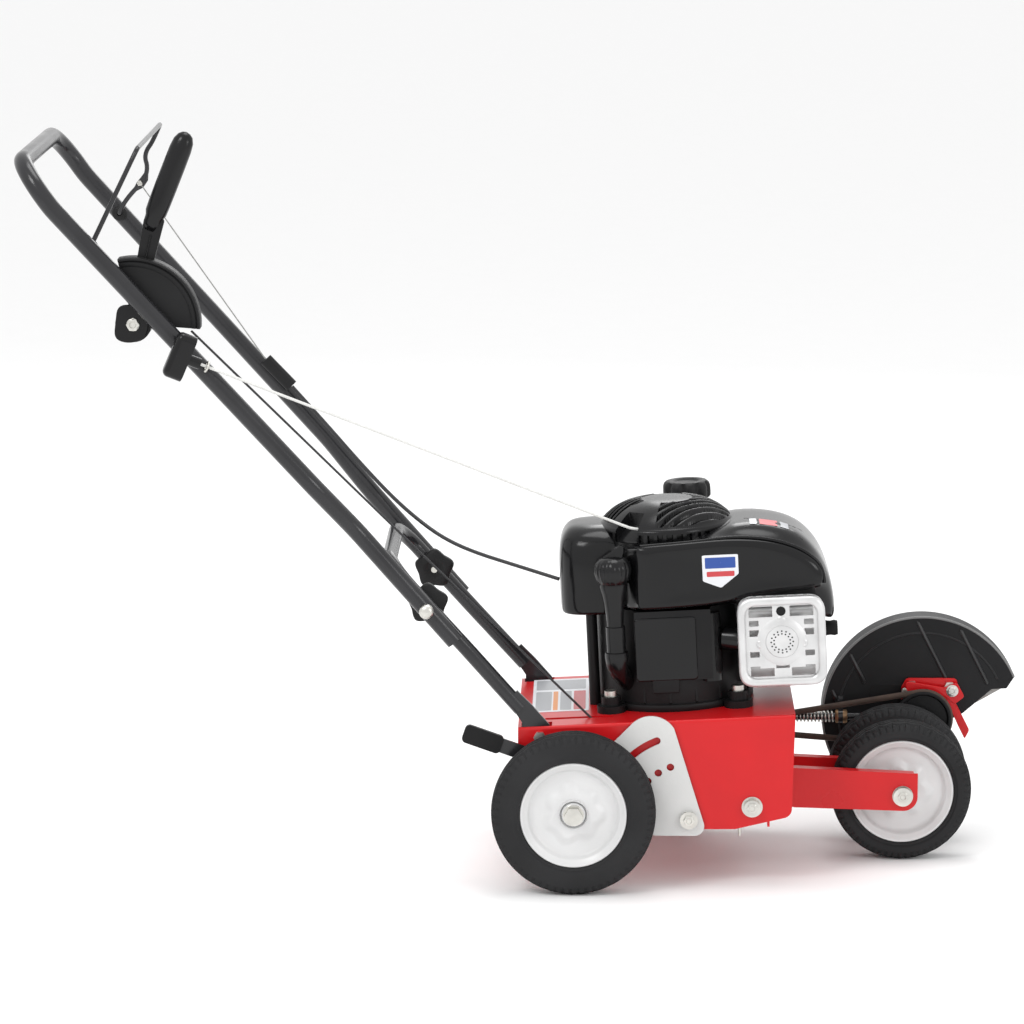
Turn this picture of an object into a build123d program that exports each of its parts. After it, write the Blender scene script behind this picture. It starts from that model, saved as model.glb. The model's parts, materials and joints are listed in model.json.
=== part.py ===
"""Walk-behind lawn edger with a vertical-shaft engine, four wheels and a belt-driven edging blade.

Frame: +X forward, +Y to the operator's left, +Z up, ground at z = 0. Millimetres.
"""
from math import atan2, cos, degrees, hypot, radians, sin, tan
import os

from build123d import *

# ---------------------------------------------------------------- driving dimensions
# wheels
REAR_AXLE_X = 56.0
WHEELBASE = 414.0
FRONT_AXLE_X = REAR_AXLE_X + WHEELBASE
REAR_R = 101.6
FRONT_R = 89.0
TYRE_WIDTH = 44.0
RIM_R = 66.0
AXLE_R = 6.3
WHEEL_BORE_R = 6.35
HALF_TRACK = 206.0
LEFT_AXLE_X = REAR_AXLE_X + 80.0
FRONT_WHEEL_Y = 5.0
CURB_WHEEL_Y = 97.0

# deck
DECK_REAR_X = -13.0
DECK_FRONT_X = 329.5
DECK_REAR_Z = 200.0
DECK_TILT = 2.89
DECK_HALF = 148.0
SHEET = 3.0
CRANK_X = 182.0
SHAFT_X = 276.9
SHAFT_Z = 101.0
SHAFT_R = 6.0

# handle
FOLD_X = -125.0
FOLD_Z = 350.0
LOWER_TUBE_R = 9.5
UPPER_TUBE_R = 11.1
LOWER_Y = 133.6
LAP_Y = 154.5
TUBE_WALL = 1.6
PIVOT_BOLT_R = 3.95
PIVOT_HOLE_R = 4.0

# blade head
SPINDLE_X = 505.0
SPINDLE_Z = 153.0
BLADE_R = 114.3
GUARD_R = 129.5
BELT_Y = 126.5
BELT_R = 4.0
BELT_BEND_R = 34.9

# depth lever
LEVER_X = -479.5
LEVER_Z = 705.4

# bail
BAIL_X = -530.0
BAIL_Z = 800.0

# curb bracket
CURB_PIVOT_X = 198.6
CURB_PIVOT_Z = 86.0
PLATE_Y = -154.0

# starter rope
GUIDE = Vector(-389.7, -202.0, 658.0)
ROPE_END = Vector(131.5, -70.0, 434.5)
ROPE_R = 1.75

os.makedirs("parts", exist_ok=True)


# ---------------------------------------------------------------- shared planes and helpers
def side(y):
    """Plane at the given y whose sketch axes are X and Z; extrude(amount=-t) runs towards +Y."""
    return Plane.XZ.offset(-y)


def deck_top(x):
    """Height of the deck's top face at x."""
    return DECK_REAR_Z + (x - DECK_REAR_X) * tan(radians(DECK_TILT))


ENGINE_ORIGIN = Vector(CRANK_X, 0, deck_top(CRANK_X))
ENGINE_AXIS = Vector(-sin(radians(DECK_TILT)), 0, cos(radians(DECK_TILT)))
ENGINE_FORWARD = Vector(cos(radians(DECK_TILT)), 0, sin(radians(DECK_TILT)))
ENGINE = Plane(origin=ENGINE_ORIGIN, x_dir=ENGINE_FORWARD, z_dir=ENGINE_AXIS)


def wheel_section(x, y, z):
    """Plane for a wheel's half section: first axis along the axle, second axis radial."""
    return Plane(origin=(x, y, z), x_dir=(0, 1, 0), z_dir=(1, 0, 0))


def axle_axis(x, z):
    """Axis along +Y through x, z."""
    return Axis((x, 0, z), (0, 1, 0))


def save(piece, name):
    """Label a finished piece and write it to its own STEP file."""
    piece.label = name
    export_step(piece, f"parts/{name}.step")


def route_radii(points):
    """Largest tangent arc at each corner of a cord's route: 0.45 of the shorter run."""
    radii = []
    for before, here, after in zip(points, points[1:], points[2:]):
        run_in = Vector(*here) - Vector(*before)
        run_out = Vector(*after) - Vector(*here)
        half_turn = radians(run_in.get_angle(run_out)) / 2
        radii.append(0.45 * min(run_in.length, run_out.length) / tan(half_turn))
    return radii


def peg(x, z, radius, y0, y1, mode=Mode.ADD):
    """Cylinder along +Y from y0 to y1."""
    with Locations(Location((x, y0, z), (-90, 0, 0))):
        Cylinder(radius, y1 - y0, align=(Align.CENTER, Align.CENTER, Align.MIN), mode=mode)


def hex_peg(x, z, radius, y0, y1):
    """Hexagonal prism along +Y from y0 to y1."""
    with BuildSketch(side(y0)) as hexagon:
        with Locations((x, z)):
            RegularPolygon(radius, 6)
    extrude(hexagon.sketch, amount=y0 - y1)


def brick(x0, x1, y0, y1, z0, z1, mode=Mode.ADD):
    """Upright box between two corners."""
    with Locations((x0, y0, z0)):
        Box(x1 - x0, y1 - y0, z1 - z0, align=(Align.MIN, Align.MIN, Align.MIN), mode=mode)


def post(u, v, radius, w0, w1, mode=Mode.ADD):
    """Cylinder along the engine's axis, from height w0 to w1 above its mounting face."""
    with Locations(ENGINE.location * Location((u, v, w0))):
        Cylinder(radius, w1 - w0, align=(Align.CENTER, Align.CENTER, Align.MIN), mode=mode)


def block(u0, u1, v0, v1, w0, w1, mode=Mode.ADD):
    """Box square to the engine's axis."""
    with Locations(ENGINE.location * Location((u0, v0, w0))):
        Box(u1 - u0, v1 - v0, w1 - w0, align=(Align.MIN, Align.MIN, Align.MIN), mode=mode)


def engine_side(v):
    """Plane square to the engine at offset v, with sketch axes forward and up."""
    return Plane(origin=ENGINE_ORIGIN + Vector(0, v, 0), x_dir=ENGINE_FORWARD, z_dir=(0, -1, 0))


# ---------------------------------------------------------------- deck frame
DECK_SIDE = [
    (DECK_REAR_X, 128), (DECK_REAR_X, DECK_REAR_Z), (DECK_FRONT_X, deck_top(DECK_FRONT_X)),
    (326, 89), (256, 72.5), (62, 71),
]
DECK_INSIDE = [
    (DECK_REAR_X + SHEET, 60), (DECK_REAR_X + SHEET, DECK_REAR_Z - SHEET),
    (DECK_FRONT_X + 20, deck_top(DECK_FRONT_X + 20) - SHEET), (DECK_FRONT_X + 20, 60),
]
FOOT_X = 9.0
FOOT_BOLT = (14.0, 188.0)
CABLE_SLOT_X = 62.0
CABLE_SLOT_Y = -105.0

with BuildPart() as deck_frame:
    with BuildSketch(side(-DECK_HALF)):
        with BuildLine():
            Polyline(*DECK_SIDE, close=True)
        make_face()
    extrude(amount=-2 * DECK_HALF)
    front_corner = deck_frame.edges().filter_by(Axis.Y).sort_by_distance((326, 0, 89))[0]
    fillet(front_corner, 12)
    top_edges = deck_frame.edges().filter_by(Plane.XZ).sort_by(Axis.Z)[-2:]
    fillet(top_edges, 4)
    with BuildSketch(side(SHEET - DECK_HALF)):
        with BuildLine():
            Polyline(*DECK_INSIDE, close=True)
        make_face()
    extrude(amount=-2 * (DECK_HALF - SHEET), mode=Mode.SUBTRACT)
    # crank opening
    with BuildSketch(ENGINE.offset(-10)):
        Circle(30)
    extrude(amount=20, mode=Mode.SUBTRACT)
    # corner openings for the handle's feet, and the slot for the depth cable
    with BuildSketch(Plane.XY.offset(DECK_REAR_Z - 20)):
        with Locations((FOOT_X + 1, -DECK_HALF + 14.5), (FOOT_X + 1, DECK_HALF - 14.5)):
            Rectangle(38, 23)
        with Locations((CABLE_SLOT_X, CABLE_SLOT_Y)):
            SlotOverall(86, 10)
    extrude(amount=40, mode=Mode.SUBTRACT)
    # shaft and bolt holes through the side walls
    with BuildSketch(side(-DECK_HALF - 5)):
        with Locations((SHAFT_X, SHAFT_Z)):
            Circle(SHAFT_R + 0.05)
        with Locations(FOOT_BOLT):
            Circle(4.1)
    extrude(amount=-2 * DECK_HALF - 10, mode=Mode.SUBTRACT)
    with BuildSketch(side(-DECK_HALF - 5)):
        with Locations((CURB_PIVOT_X, CURB_PIVOT_Z)):
            Circle(SHAFT_R + 0.05)
    extrude(amount=-10, mode=Mode.SUBTRACT)
    with BuildSketch(side(DECK_HALF - 5)):
        with Locations((LEFT_AXLE_X, REAR_R)):
            Circle(AXLE_R + 0.05)
    extrude(amount=-10, mode=Mode.SUBTRACT)
    # engine mounting holes
    with BuildSketch(ENGINE.offset(-10)):
        with PolarLocations(112, 4, start_angle=45):
            Circle(4.3)
    extrude(amount=20, mode=Mode.SUBTRACT)
save(deck_frame.part, "deck_frame")

# ---------------------------------------------------------------- lower handle
FOOT_TOP = (-9.5, 139.0, 222.0)
LOWER_KNEE = (-75.0, LOWER_Y, 294.6)
LOWER_CORNER = (-173.0, LOWER_Y, 403.2)
FOOT_THICK = 5.0
FOOT_Y = DECK_HALF - SHEET - FOOT_THICK / 2 - 0.2
FOOT_OUTLINE = [(-8, 176), (26, 176), (26, 203), (4, 228), (-14, 246), (-27, 234), (-8, 206)]


def mirrored(points):
    """The right-hand points followed by the left-hand ones in reverse, as one route."""
    right = [(x, -y, z) for x, y, z in points]
    return right + [(x, y, z) for x, y, z in reversed(points)]


LOWER_PATH = mirrored([FOOT_TOP, LOWER_KNEE, LOWER_CORNER])
LOWER_START = Vector(*LOWER_PATH[1]) - Vector(*LOWER_PATH[0])

with BuildPart() as lower_handle:
    with BuildLine() as lower_line:
        FilletPolyline(*LOWER_PATH, radius=[200, 42, 42, 200])
    with BuildSketch(Plane(origin=LOWER_PATH[0], z_dir=LOWER_START)):
        Circle(LOWER_TUBE_R)
        Circle(LOWER_TUBE_R - TUBE_WALL, mode=Mode.SUBTRACT)
    sweep(path=lower_line.line)
    # flattened feet, bolted against the deck's inner walls
    for hand in (-1, 1):
        with BuildSketch(side(hand * FOOT_Y - FOOT_THICK / 2)):
            with BuildLine():
                Polyline(*FOOT_OUTLINE, close=True)
            make_face()
        extrude(amount=-FOOT_THICK)
    for lap in (-LOWER_Y, LOWER_Y):
        peg(FOLD_X, FOLD_Z, PIVOT_HOLE_R, lap - 15, lap + 15, Mode.SUBTRACT)
        peg(*FOOT_BOLT, 4.1, lap - 15, lap + 15, Mode.SUBTRACT)
save(lower_handle.part, "lower_handle")

# ---------------------------------------------------------------- upper handle
UPPER_PATH = mirrored([
    (-90.2, LAP_Y, 310.2), (-212, LAP_Y, 449), (-262, 178, 506.6),
    (-575, 194, 848.6), (-613, 196, 902),
])
UPPER_START = Vector(*UPPER_PATH[1]) - Vector(*UPPER_PATH[0])

with BuildPart() as upper_handle:
    with BuildLine() as upper_line:
        FilletPolyline(*UPPER_PATH, radius=[90, 90, 150, 50, 50, 150, 90, 90])
    with BuildSketch(Plane(origin=UPPER_PATH[0], z_dir=UPPER_START)):
        Circle(UPPER_TUBE_R)
        Circle(UPPER_TUBE_R - TUBE_WALL, mode=Mode.SUBTRACT)
    sweep(path=upper_line.line)
    with BuildSketch(side(-LAP_Y - 20)):
        with Locations((FOLD_X, FOLD_Z)):
            Circle(PIVOT_HOLE_R)
    extrude(amount=-2 * LAP_Y - 40, mode=Mode.SUBTRACT)
    # bail pivot holes, one through each leg's inner wall
    with BuildSketch(side(-190)):
        with Locations((BAIL_X, BAIL_Z)):
            Circle(3.3)
    extrude(amount=-380, mode=Mode.SUBTRACT)
save(upper_handle.part, "upper_handle")

# ---------------------------------------------------------------- wheels
RIM_SECTION = [
    (6, WHEEL_BORE_R), (36, WHEEL_BORE_R), (36, 14), (25, 14), (25, 57), (40, 60), (40, RIM_R),
    (4, RIM_R), (4, 60), (19, 57), (19, 14), (6, 14),
]
WHEELS = [
    ("right_rear", REAR_AXLE_X, -HALF_TRACK, REAR_R),
    ("left_rear", LEFT_AXLE_X, HALF_TRACK - TYRE_WIDTH, REAR_R),
    ("front", FRONT_AXLE_X, FRONT_WHEEL_Y - TYRE_WIDTH / 2, FRONT_R),
    ("curb", FRONT_AXLE_X, CURB_WHEEL_Y - TYRE_WIDTH / 2, FRONT_R),
]
for wheel_name, wheel_x, wheel_y, wheel_r in WHEELS:
    hub_plane = wheel_section(wheel_x, wheel_y, wheel_r)
    spin_axis = axle_axis(wheel_x, wheel_r)
    with BuildPart() as rim:
        with BuildSketch(hub_plane):
            with BuildLine():
                Polyline(*RIM_SECTION, close=True)
            make_face()
        revolve(axis=spin_axis)
    save(rim.part, f"{wheel_name}_rim")
    with BuildPart() as tyre:
        with BuildSketch(hub_plane):
            with BuildLine():
                Polyline(
                    (3, RIM_R + 0.1), (TYRE_WIDTH - 3, RIM_R + 0.1), (TYRE_WIDTH, RIM_R + 7),
                    (TYRE_WIDTH, wheel_r - 9), (TYRE_WIDTH - 5, wheel_r - 2),
                    (TYRE_WIDTH - 12, wheel_r), (12, wheel_r), (5, wheel_r - 2),
                    (0, wheel_r - 9), (0, RIM_R + 7), close=True,
                )
            make_face()
        revolve(axis=spin_axis)
    save(tyre.part, f"{wheel_name}_tyre")

# ---------------------------------------------------------------- front arms
NEAR_ARM_Y = -36.0
FAR_ARM_Y = 31.0
ARM_OUTLINE = [(262, 84), (262, 120), (332, 124.6), (488.8, 117.5), (488.8, 69), (334, 73.7)]
ARM_FLANGE = [(300, 119.5), (300, 122.6), (332, 124.6), (484, 117.7), (484, 114.7), (332, 121.6)]

with BuildPart() as front_arms:
    for arm_y in (NEAR_ARM_Y, FAR_ARM_Y):
        with BuildSketch(side(arm_y)) as web:
            with BuildLine():
                Polyline(*ARM_OUTLINE, close=True)
            make_face()
            fillet(web.vertices().sort_by_distance((488.8, 69))[0], 18)
        extrude(amount=-SHEET)
        with BuildSketch(side(arm_y)):
            with BuildLine():
                Polyline(*ARM_FLANGE, close=True)
            make_face()
        extrude(amount=-15)
    brick(296, 299, SHEET - DECK_HALF + 0.1, 118, 75, 118)
    peg(SHAFT_X, SHAFT_Z, SHAFT_R + 0.05, -60, 60, Mode.SUBTRACT)
    peg(FRONT_AXLE_X, FRONT_R, AXLE_R + 0.05, -60, 60, Mode.SUBTRACT)
save(front_arms.part, "front_arms")

with BuildPart() as front_axle:
    peg(FRONT_AXLE_X, FRONT_R, AXLE_R, -44, 118)
    hex_peg(FRONT_AXLE_X, FRONT_R, 11.5, -43, -38)
    peg(FRONT_AXLE_X, FRONT_R, 13, -38, -36)
    peg(FRONT_AXLE_X, FRONT_R, 9, -32.9, -11.2)
    peg(FRONT_AXLE_X, FRONT_R, 9, 19.2, 30.9)
    peg(FRONT_AXLE_X, FRONT_R, 9, 46.2, 80.8)
    hex_peg(FRONT_AXLE_X, FRONT_R, 11.5, 111.2, 117)
save(front_axle.part, "front_axle")

with BuildPart() as cross_shaft:
    peg(SHAFT_X, SHAFT_Z, SHAFT_R, -DECK_HALF, DECK_HALF)
    peg(SHAFT_X, SHAFT_Z, 13, -DECK_HALF - 2, -DECK_HALF)
    hex_peg(SHAFT_X, SHAFT_Z, 10.5, -DECK_HALF - 8, -DECK_HALF - 2)
    peg(SHAFT_X, SHAFT_Z, 13, DECK_HALF, DECK_HALF + 2)
    hex_peg(SHAFT_X, SHAFT_Z, 10.5, DECK_HALF + 2, DECK_HALF + 8)
save(cross_shaft.part, "cross_shaft")

# ---------------------------------------------------------------- curb bracket of the right rear wheel
SLOT_PATH_R = 107.0
INDEX_R = 70.0
SLOT_START = 112.0
SLOT_SWEEP = 31.0
GUIDE_PIN_ANGLE = 141.2
GUIDE_PIN = (
    CURB_PIVOT_X + SLOT_PATH_R * cos(radians(GUIDE_PIN_ANGLE)),
    CURB_PIVOT_Z + SLOT_PATH_R * sin(radians(GUIDE_PIN_ANGLE)),
)
PLATE_TOP = (151.5, 216.2)
LEVER_SLOPE = degrees(atan2(136 - 186, 90 + 52))

with BuildPart() as curb_plate:
    with BuildSketch(side(PLATE_Y)) as plate_outline:
        with BuildLine():
            Line((126.4, 204.9), (40.4, 117.2))
            ThreePointArc((40.4, 117.2), (34.5, 96.7), (51.4, 80.1))
            Line((51.4, 80.1), (158, 65.2))
            Line((158, 65.2), (222, 65.2))
            Line((222, 65.2), (179.9, 200.3))
            ThreePointArc((179.9, 200.3), PLATE_TOP, (126.4, 204.9))
        make_face()
        fillet(plate_outline.vertices().sort_by_distance((222, 65.2))[0], 12)
    extrude(amount=-SHEET)
    with BuildSketch(side(PLATE_Y - 1)):
        with BuildLine():
            slot_path = CenterArc((CURB_PIVOT_X, CURB_PIVOT_Z), SLOT_PATH_R, SLOT_START, SLOT_SWEEP)
        SlotArc(slot_path, 9.5)
    extrude(amount=-SHEET - 2, mode=Mode.SUBTRACT)
    for index_angle in (109.3, 123.0, 136.7):
        peg(CURB_PIVOT_X + INDEX_R * cos(radians(index_angle)),
            CURB_PIVOT_Z + INDEX_R * sin(radians(index_angle)), 4.7,
            PLATE_Y - 1, PLATE_Y + SHEET + 1, Mode.SUBTRACT)
    peg(CURB_PIVOT_X, CURB_PIVOT_Z, SHAFT_R + 0.05, PLATE_Y - 5, PLATE_Y + 5, Mode.SUBTRACT)
    peg(REAR_AXLE_X, REAR_R, AXLE_R, PLATE_Y - 5, PLATE_Y + 5, Mode.SUBTRACT)
save(curb_plate.part, "curb_plate")

LEVER_PLANE = Plane(origin=(90, PLATE_Y, 136), z_dir=(0, -1, 0),
                    x_dir=(cos(radians(LEVER_SLOPE)), 0, sin(radians(LEVER_SLOPE))))
with BuildPart() as curb_lever:
    with BuildSketch(LEVER_PLANE):
        with Locations((-75, 0)):
            SlotOverall(168, 18)
    extrude(amount=3.5)
save(curb_lever.part, "curb_lever")

with BuildPart() as curb_lever_grip:
    with BuildSketch(LEVER_PLANE.offset(-1.8)):
        with Locations((-155, 0)):
            RectangleRounded(50, 23, 6)
    extrude(amount=7)
    with BuildSketch(LEVER_PLANE):
        with Locations((-75, 0)):
            SlotOverall(168, 18)
    extrude(amount=3.5, mode=Mode.SUBTRACT)
save(curb_lever_grip.part, "curb_lever_grip")

with BuildPart() as right_axle_bolt:
    peg(REAR_AXLE_X, REAR_R, AXLE_R, -HALF_TRACK - 1, PLATE_Y + SHEET)
    peg(REAR_AXLE_X, REAR_R, 10, -169.7, PLATE_Y - 3.6)
    peg(REAR_AXLE_X, REAR_R, 13, -202, -200.3)
    hex_peg(REAR_AXLE_X, REAR_R, 11.5, -208, -202)
save(right_axle_bolt.part, "right_axle_bolt")

# ---------------------------------------------------------------- frame bolts
IDLER_X = 295.0
IDLER_Y = 110.5
with BuildPart() as frame_bolts:
    for hand in (-1, 1):
        head_y = sorted((hand * 172, hand * 166))
        shank_y = sorted((hand * 166, hand * 106))
        peg(FOLD_X, FOLD_Z, 8.75, *head_y)
        peg(FOLD_X, FOLD_Z, PIVOT_BOLT_R, *shank_y)
        foot_head = sorted((hand * 152, hand * 148))
        foot_shank = sorted((hand * 148, hand * 136))
        foot_nut = sorted((hand * 139.7, hand * 135))
        hex_peg(*FOOT_BOLT, 8, *foot_head)
        peg(*FOOT_BOLT, 4, *foot_shank)
        hex_peg(*FOOT_BOLT, 7.5, *foot_nut)
    # curb bracket's pivot, and the pin that rides in its slot
    peg(CURB_PIVOT_X, CURB_PIVOT_Z, SHAFT_R, -156, -138)
    hex_peg(CURB_PIVOT_X, CURB_PIVOT_Z, 11, -160, PLATE_Y - 0.2)
    hex_peg(CURB_PIVOT_X, CURB_PIVOT_Z, 11, -144.9, -139)
    peg(*GUIDE_PIN, 4, PLATE_Y - 0.3, -DECK_HALF)
    peg(*GUIDE_PIN, 8, PLATE_Y - 4, PLATE_Y - 0.3)
    # left rear axle
    peg(LEFT_AXLE_X, REAR_R, AXLE_R, 138, HALF_TRACK + 1)
    peg(LEFT_AXLE_X, REAR_R, 10, DECK_HALF, 167.8)
    hex_peg(LEFT_AXLE_X, REAR_R, 11.5, 198.3, HALF_TRACK)
    hex_peg(LEFT_AXLE_X, REAR_R, 11.5, 139, 144.9)
    # engine mounting bolts
    for corner in (45, 135, 225, 315):
        mount_u = 112 * cos(radians(corner))
        mount_v = 112 * sin(radians(corner))
        post(mount_u, mount_v, 4, -9, 21)
        post(mount_u, mount_v, 8, 20, 27)
        post(mount_u, mount_v, 8, -9, -SHEET - 1)
    # pin of the two belt idlers
    with Locations((IDLER_X, IDLER_Y, 125.4)):
        Cylinder(5.95, 86.8, align=(Align.CENTER, Align.CENTER, Align.MIN))
        Cylinder(9, 1.6, align=(Align.CENTER, Align.CENTER, Align.MIN))
    with Locations((IDLER_X, IDLER_Y, 142.9)):
        Cylinder(8, 1.2, align=(Align.CENTER, Align.CENTER, Align.MIN))
    with Locations((IDLER_X, IDLER_Y, 160)):
        Cylinder(8, 52, align=(Align.CENTER, Align.CENTER, Align.MIN))
save(frame_bolts.part, "frame_bolts")

# ---------------------------------------------------------------- engine
CRANK_R = 12.5
CASE_R = 95.0
COWL_PLAN = [
    (-137, -45), (-112, -62), (-60, -66), (-41, -80), (-41, -106), (150, -106), (207, -60),
    (207, 60), (150, 94), (-41, 94), (-110, 80), (-137, 45),
]
COWL_WALL = 2.5
COWL_CAVITY = [
    (-137.5, 90), (-137.5, 209), (-127, 221.5), (-98.5, 221.5), (-89.5, 201.5), (63.5, 201.5),
    (76.5, 227.2), (150.5, 201.5), (197.3, 164.5), (203.4, 90),
]
COWL_PROFILE = [
    (-140, 118), (-140, 210), (-128, 224), (-97, 224), (-88, 204), (62, 204), (75, 230),
    (152, 204), (200, 166), (206, 100), (189, 100), (189, 131), (-70, 131), (-82, 118),
]
MOUNT_EARS = 112.0
EAR_ANGLES = (45, 135, 225, 315)

with BuildPart() as engine_base:
    post(0, 0, 99, 0, 9)
    for ear_angle in EAR_ANGLES:
        ear_u = MOUNT_EARS * cos(radians(ear_angle))
        ear_v = MOUNT_EARS * sin(radians(ear_angle))
        post(ear_u, ear_v, 12, 0, 20)
        post(ear_u, ear_v, 18, 0, 9)
    post(0, 0, CASE_R, 0, 128)
    block(-46, 49, -98, -60, 40, 128)
    post(-99.5, -30, 7, 0, 117.5)
    post(0, 0, 80, 9, 119, Mode.SUBTRACT)
    post(0, 0, CRANK_R + 0.05, -5, 140, Mode.SUBTRACT)
    for ear_angle in EAR_ANGLES:
        post(MOUNT_EARS * cos(radians(ear_angle)), MOUNT_EARS * sin(radians(ear_angle)), 4.1,
             -5, 25, Mode.SUBTRACT)
save(engine_base.part, "engine_base")

with BuildPart() as cylinder_block:
    block(80, 186, -50, 50, 25, 125)
    post(0, 0, CASE_R + 0.05, 0, 140, Mode.SUBTRACT)
    # cooling fins
    for fin in range(8):
        fin_w = 31 + fin * 12
        block(112, 190, -55, -42, fin_w, fin_w + 6, Mode.SUBTRACT)
        block(112, 190, 42, 55, fin_w, fin_w + 6, Mode.SUBTRACT)
save(cylinder_block.part, "cylinder_block")

with BuildPart() as cowl_cavity:
    with BuildSketch(ENGINE.offset(80)):
        with BuildLine():
            Polyline(*COWL_PLAN, close=True)
        make_face()
        offset(amount=-COWL_WALL, kind=Kind.INTERSECTION)
    extrude(amount=160)
    with BuildSketch(engine_side(-150)):
        with BuildLine():
            Polyline(*COWL_CAVITY, close=True)
        make_face()
    extrude(amount=-300, mode=Mode.INTERSECT)

with BuildPart() as blower_housing:
    with BuildSketch(ENGINE.offset(95)) as cowl_outline:
        with BuildLine():
            Polyline(*COWL_PLAN, close=True)
        make_face()
        fillet(cowl_outline.vertices(), 5)
    extrude(amount=140)
    with BuildSketch(engine_side(-150)):
        with BuildLine():
            Polyline(*COWL_PROFILE, close=True)
        make_face()
    extrude(amount=-300, mode=Mode.INTERSECT)
    add(cowl_cavity.part, mode=Mode.SUBTRACT)
    post(0, 0, 60, 195, 206, Mode.SUBTRACT)
    post(0, 0, 86.4, 204.2, 240, Mode.SUBTRACT)
save(blower_housing.part, "blower_housing")

DOME_SECTION = [
    (80, 204.3), (86, 204.3), (86, 226), (81, 236), (70, 248), (50, 253), (0, 254.8),
    (0, 206), (6, 206), (6, 251.8), (49, 250.5), (68.6, 245.8), (78.6, 235), (83.4, 225.4),
    (83.4, 206.8), (80, 206.8),
]
with BuildPart() as starter_cover:
    with BuildSketch(engine_side(0)):
        with BuildLine():
            Polyline(*DOME_SECTION, close=True)
        make_face()
    revolve(axis=Axis(ENGINE_ORIGIN, ENGINE_AXIS))
    # cooling slots around the dome's shoulder
    for vent in range(10):
        vent_plane = ENGINE * Location((0, 0, 230), (0, 0, 36 * vent))
        with BuildSketch(vent_plane):
            with Locations(Location((58, 0), 28)):
                SlotOverall(34, 7)
        extrude(amount=40, mode=Mode.SUBTRACT)
    # rope outlet
    block(-62, -22, -92, -50, 214, 240, Mode.SUBTRACT)
save(starter_cover.part, "starter_cover")

with BuildPart() as recoil_reel:
    post(0, 0, 56, 208, 226)
    with BuildSketch(engine_side(0)):
        with Locations((53.5, 217)):
            Rectangle(7, 13)
    revolve(axis=Axis(ENGINE_ORIGIN, ENGINE_AXIS), mode=Mode.SUBTRACT)
    post(0, 0, 6.05, 205, 230, Mode.SUBTRACT)
save(recoil_reel.part, "recoil_reel")

with BuildPart() as crankshaft:
    post(0, 0, CRANK_R, -80, 200)
save(crankshaft.part, "crankshaft")

PULLEY_W = -62.0
with BuildPart() as engine_pulley:
    post(0, 0, 39.5, PULLEY_W - 7, PULLEY_W + 7)
    with BuildSketch(engine_side(0)):
        with Locations((38, PULLEY_W)):
            Rectangle(15, 11.6)
    revolve(axis=Axis(ENGINE_ORIGIN, ENGINE_AXIS), mode=Mode.SUBTRACT)
    post(0, 0, CRANK_R, -100, 0, Mode.SUBTRACT)
save(engine_pulley.part, "engine_pulley")

with BuildPart() as flywheel:
    post(0, 0, 75, 136, 146)
    post(0, 0, 32, 146, 184)
    for fan in range(12):
        with BuildSketch(ENGINE * Location((0, 0, 146), (0, 0, 30 * fan))):
            with Locations((52, 0)):
                Rectangle(42, 3)
        extrude(amount=28)
    post(0, 0, CRANK_R, 130, 190, Mode.SUBTRACT)
save(flywheel.part, "flywheel")

FUEL_NECK = (28, 118)
with BuildPart() as fuel_tank:
    block(-100, 90, 95.4, 148, 118, 196)
    fillet(fuel_tank.edges(), 9)
    post(*FUEL_NECK, 20, 192, 236)
    block(-91, 81, 101, 142, 126, 188, Mode.SUBTRACT)
    post(*FUEL_NECK, 16, 180, 240, Mode.SUBTRACT)
save(fuel_tank.part, "fuel_tank")

with BuildPart() as fuel_cap:
    post(*FUEL_NECK, 31, 231, 255)
    chamfer(fuel_cap.edges().filter_by(GeomType.CIRCLE).sort_by(Axis.Z)[-1], 3)
    for flute in range(14):
        flute_angle = radians(360 / 14 * flute)
        post(FUEL_NECK[0] + 33 * cos(flute_angle), FUEL_NECK[1] + 33 * sin(flute_angle), 4.2,
             225, 260, Mode.SUBTRACT)
    post(*FUEL_NECK, 20.1, 230, 237, Mode.SUBTRACT)
save(fuel_cap.part, "fuel_cap")

with BuildPart() as muffler:
    block(86, 186, -105.5, -56, 35, 128)
    fillet(muffler.edges(), 8)
save(muffler.part, "muffler")

with BuildPart() as muffler_guard:
    block(81, 190, -131, -107.5, 33, 145)
    fillet(muffler_guard.edges().filter_by(Axis.Y), 14)
    block(83, 188, -129, -100, 35, 143, Mode.SUBTRACT)
    for guard_slot in range(5):
        slot_w = 47 + 20 * guard_slot
        block(76, 100, -125, -111, slot_w, slot_w + 7, Mode.SUBTRACT)
        block(170, 195, -125, -111, slot_w, slot_w + 7, Mode.SUBTRACT)
    for ring_r, ring_count in ((34, 16), (21, 10), (9, 5)):
        for hole in range(ring_count):
            hole_angle = radians(360 / ring_count * hole)
            hole_u = 135.5 + ring_r * cos(hole_angle)
            hole_w = 89 + ring_r * sin(hole_angle)
            block(hole_u - 3, hole_u + 3, -135, -120, hole_w - 3, hole_w + 3, Mode.SUBTRACT)
save(muffler_guard.part, "muffler_guard")

with BuildPart() as carburettor:
    block(108, 150, 50.5, 95.8, 52, 104)
    fillet(carburettor.edges(), 4)
    post(129, 73, 18, 30, 54)
save(carburettor.part, "carburettor")

with BuildPart() as air_cleaner:
    block(105, 182, 96, 142, 62, 142)
    fillet(air_cleaner.edges(), 8)
    block(111, 176, 101, 136, 68, 136, Mode.SUBTRACT)
save(air_cleaner.part, "air_cleaner")

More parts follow.
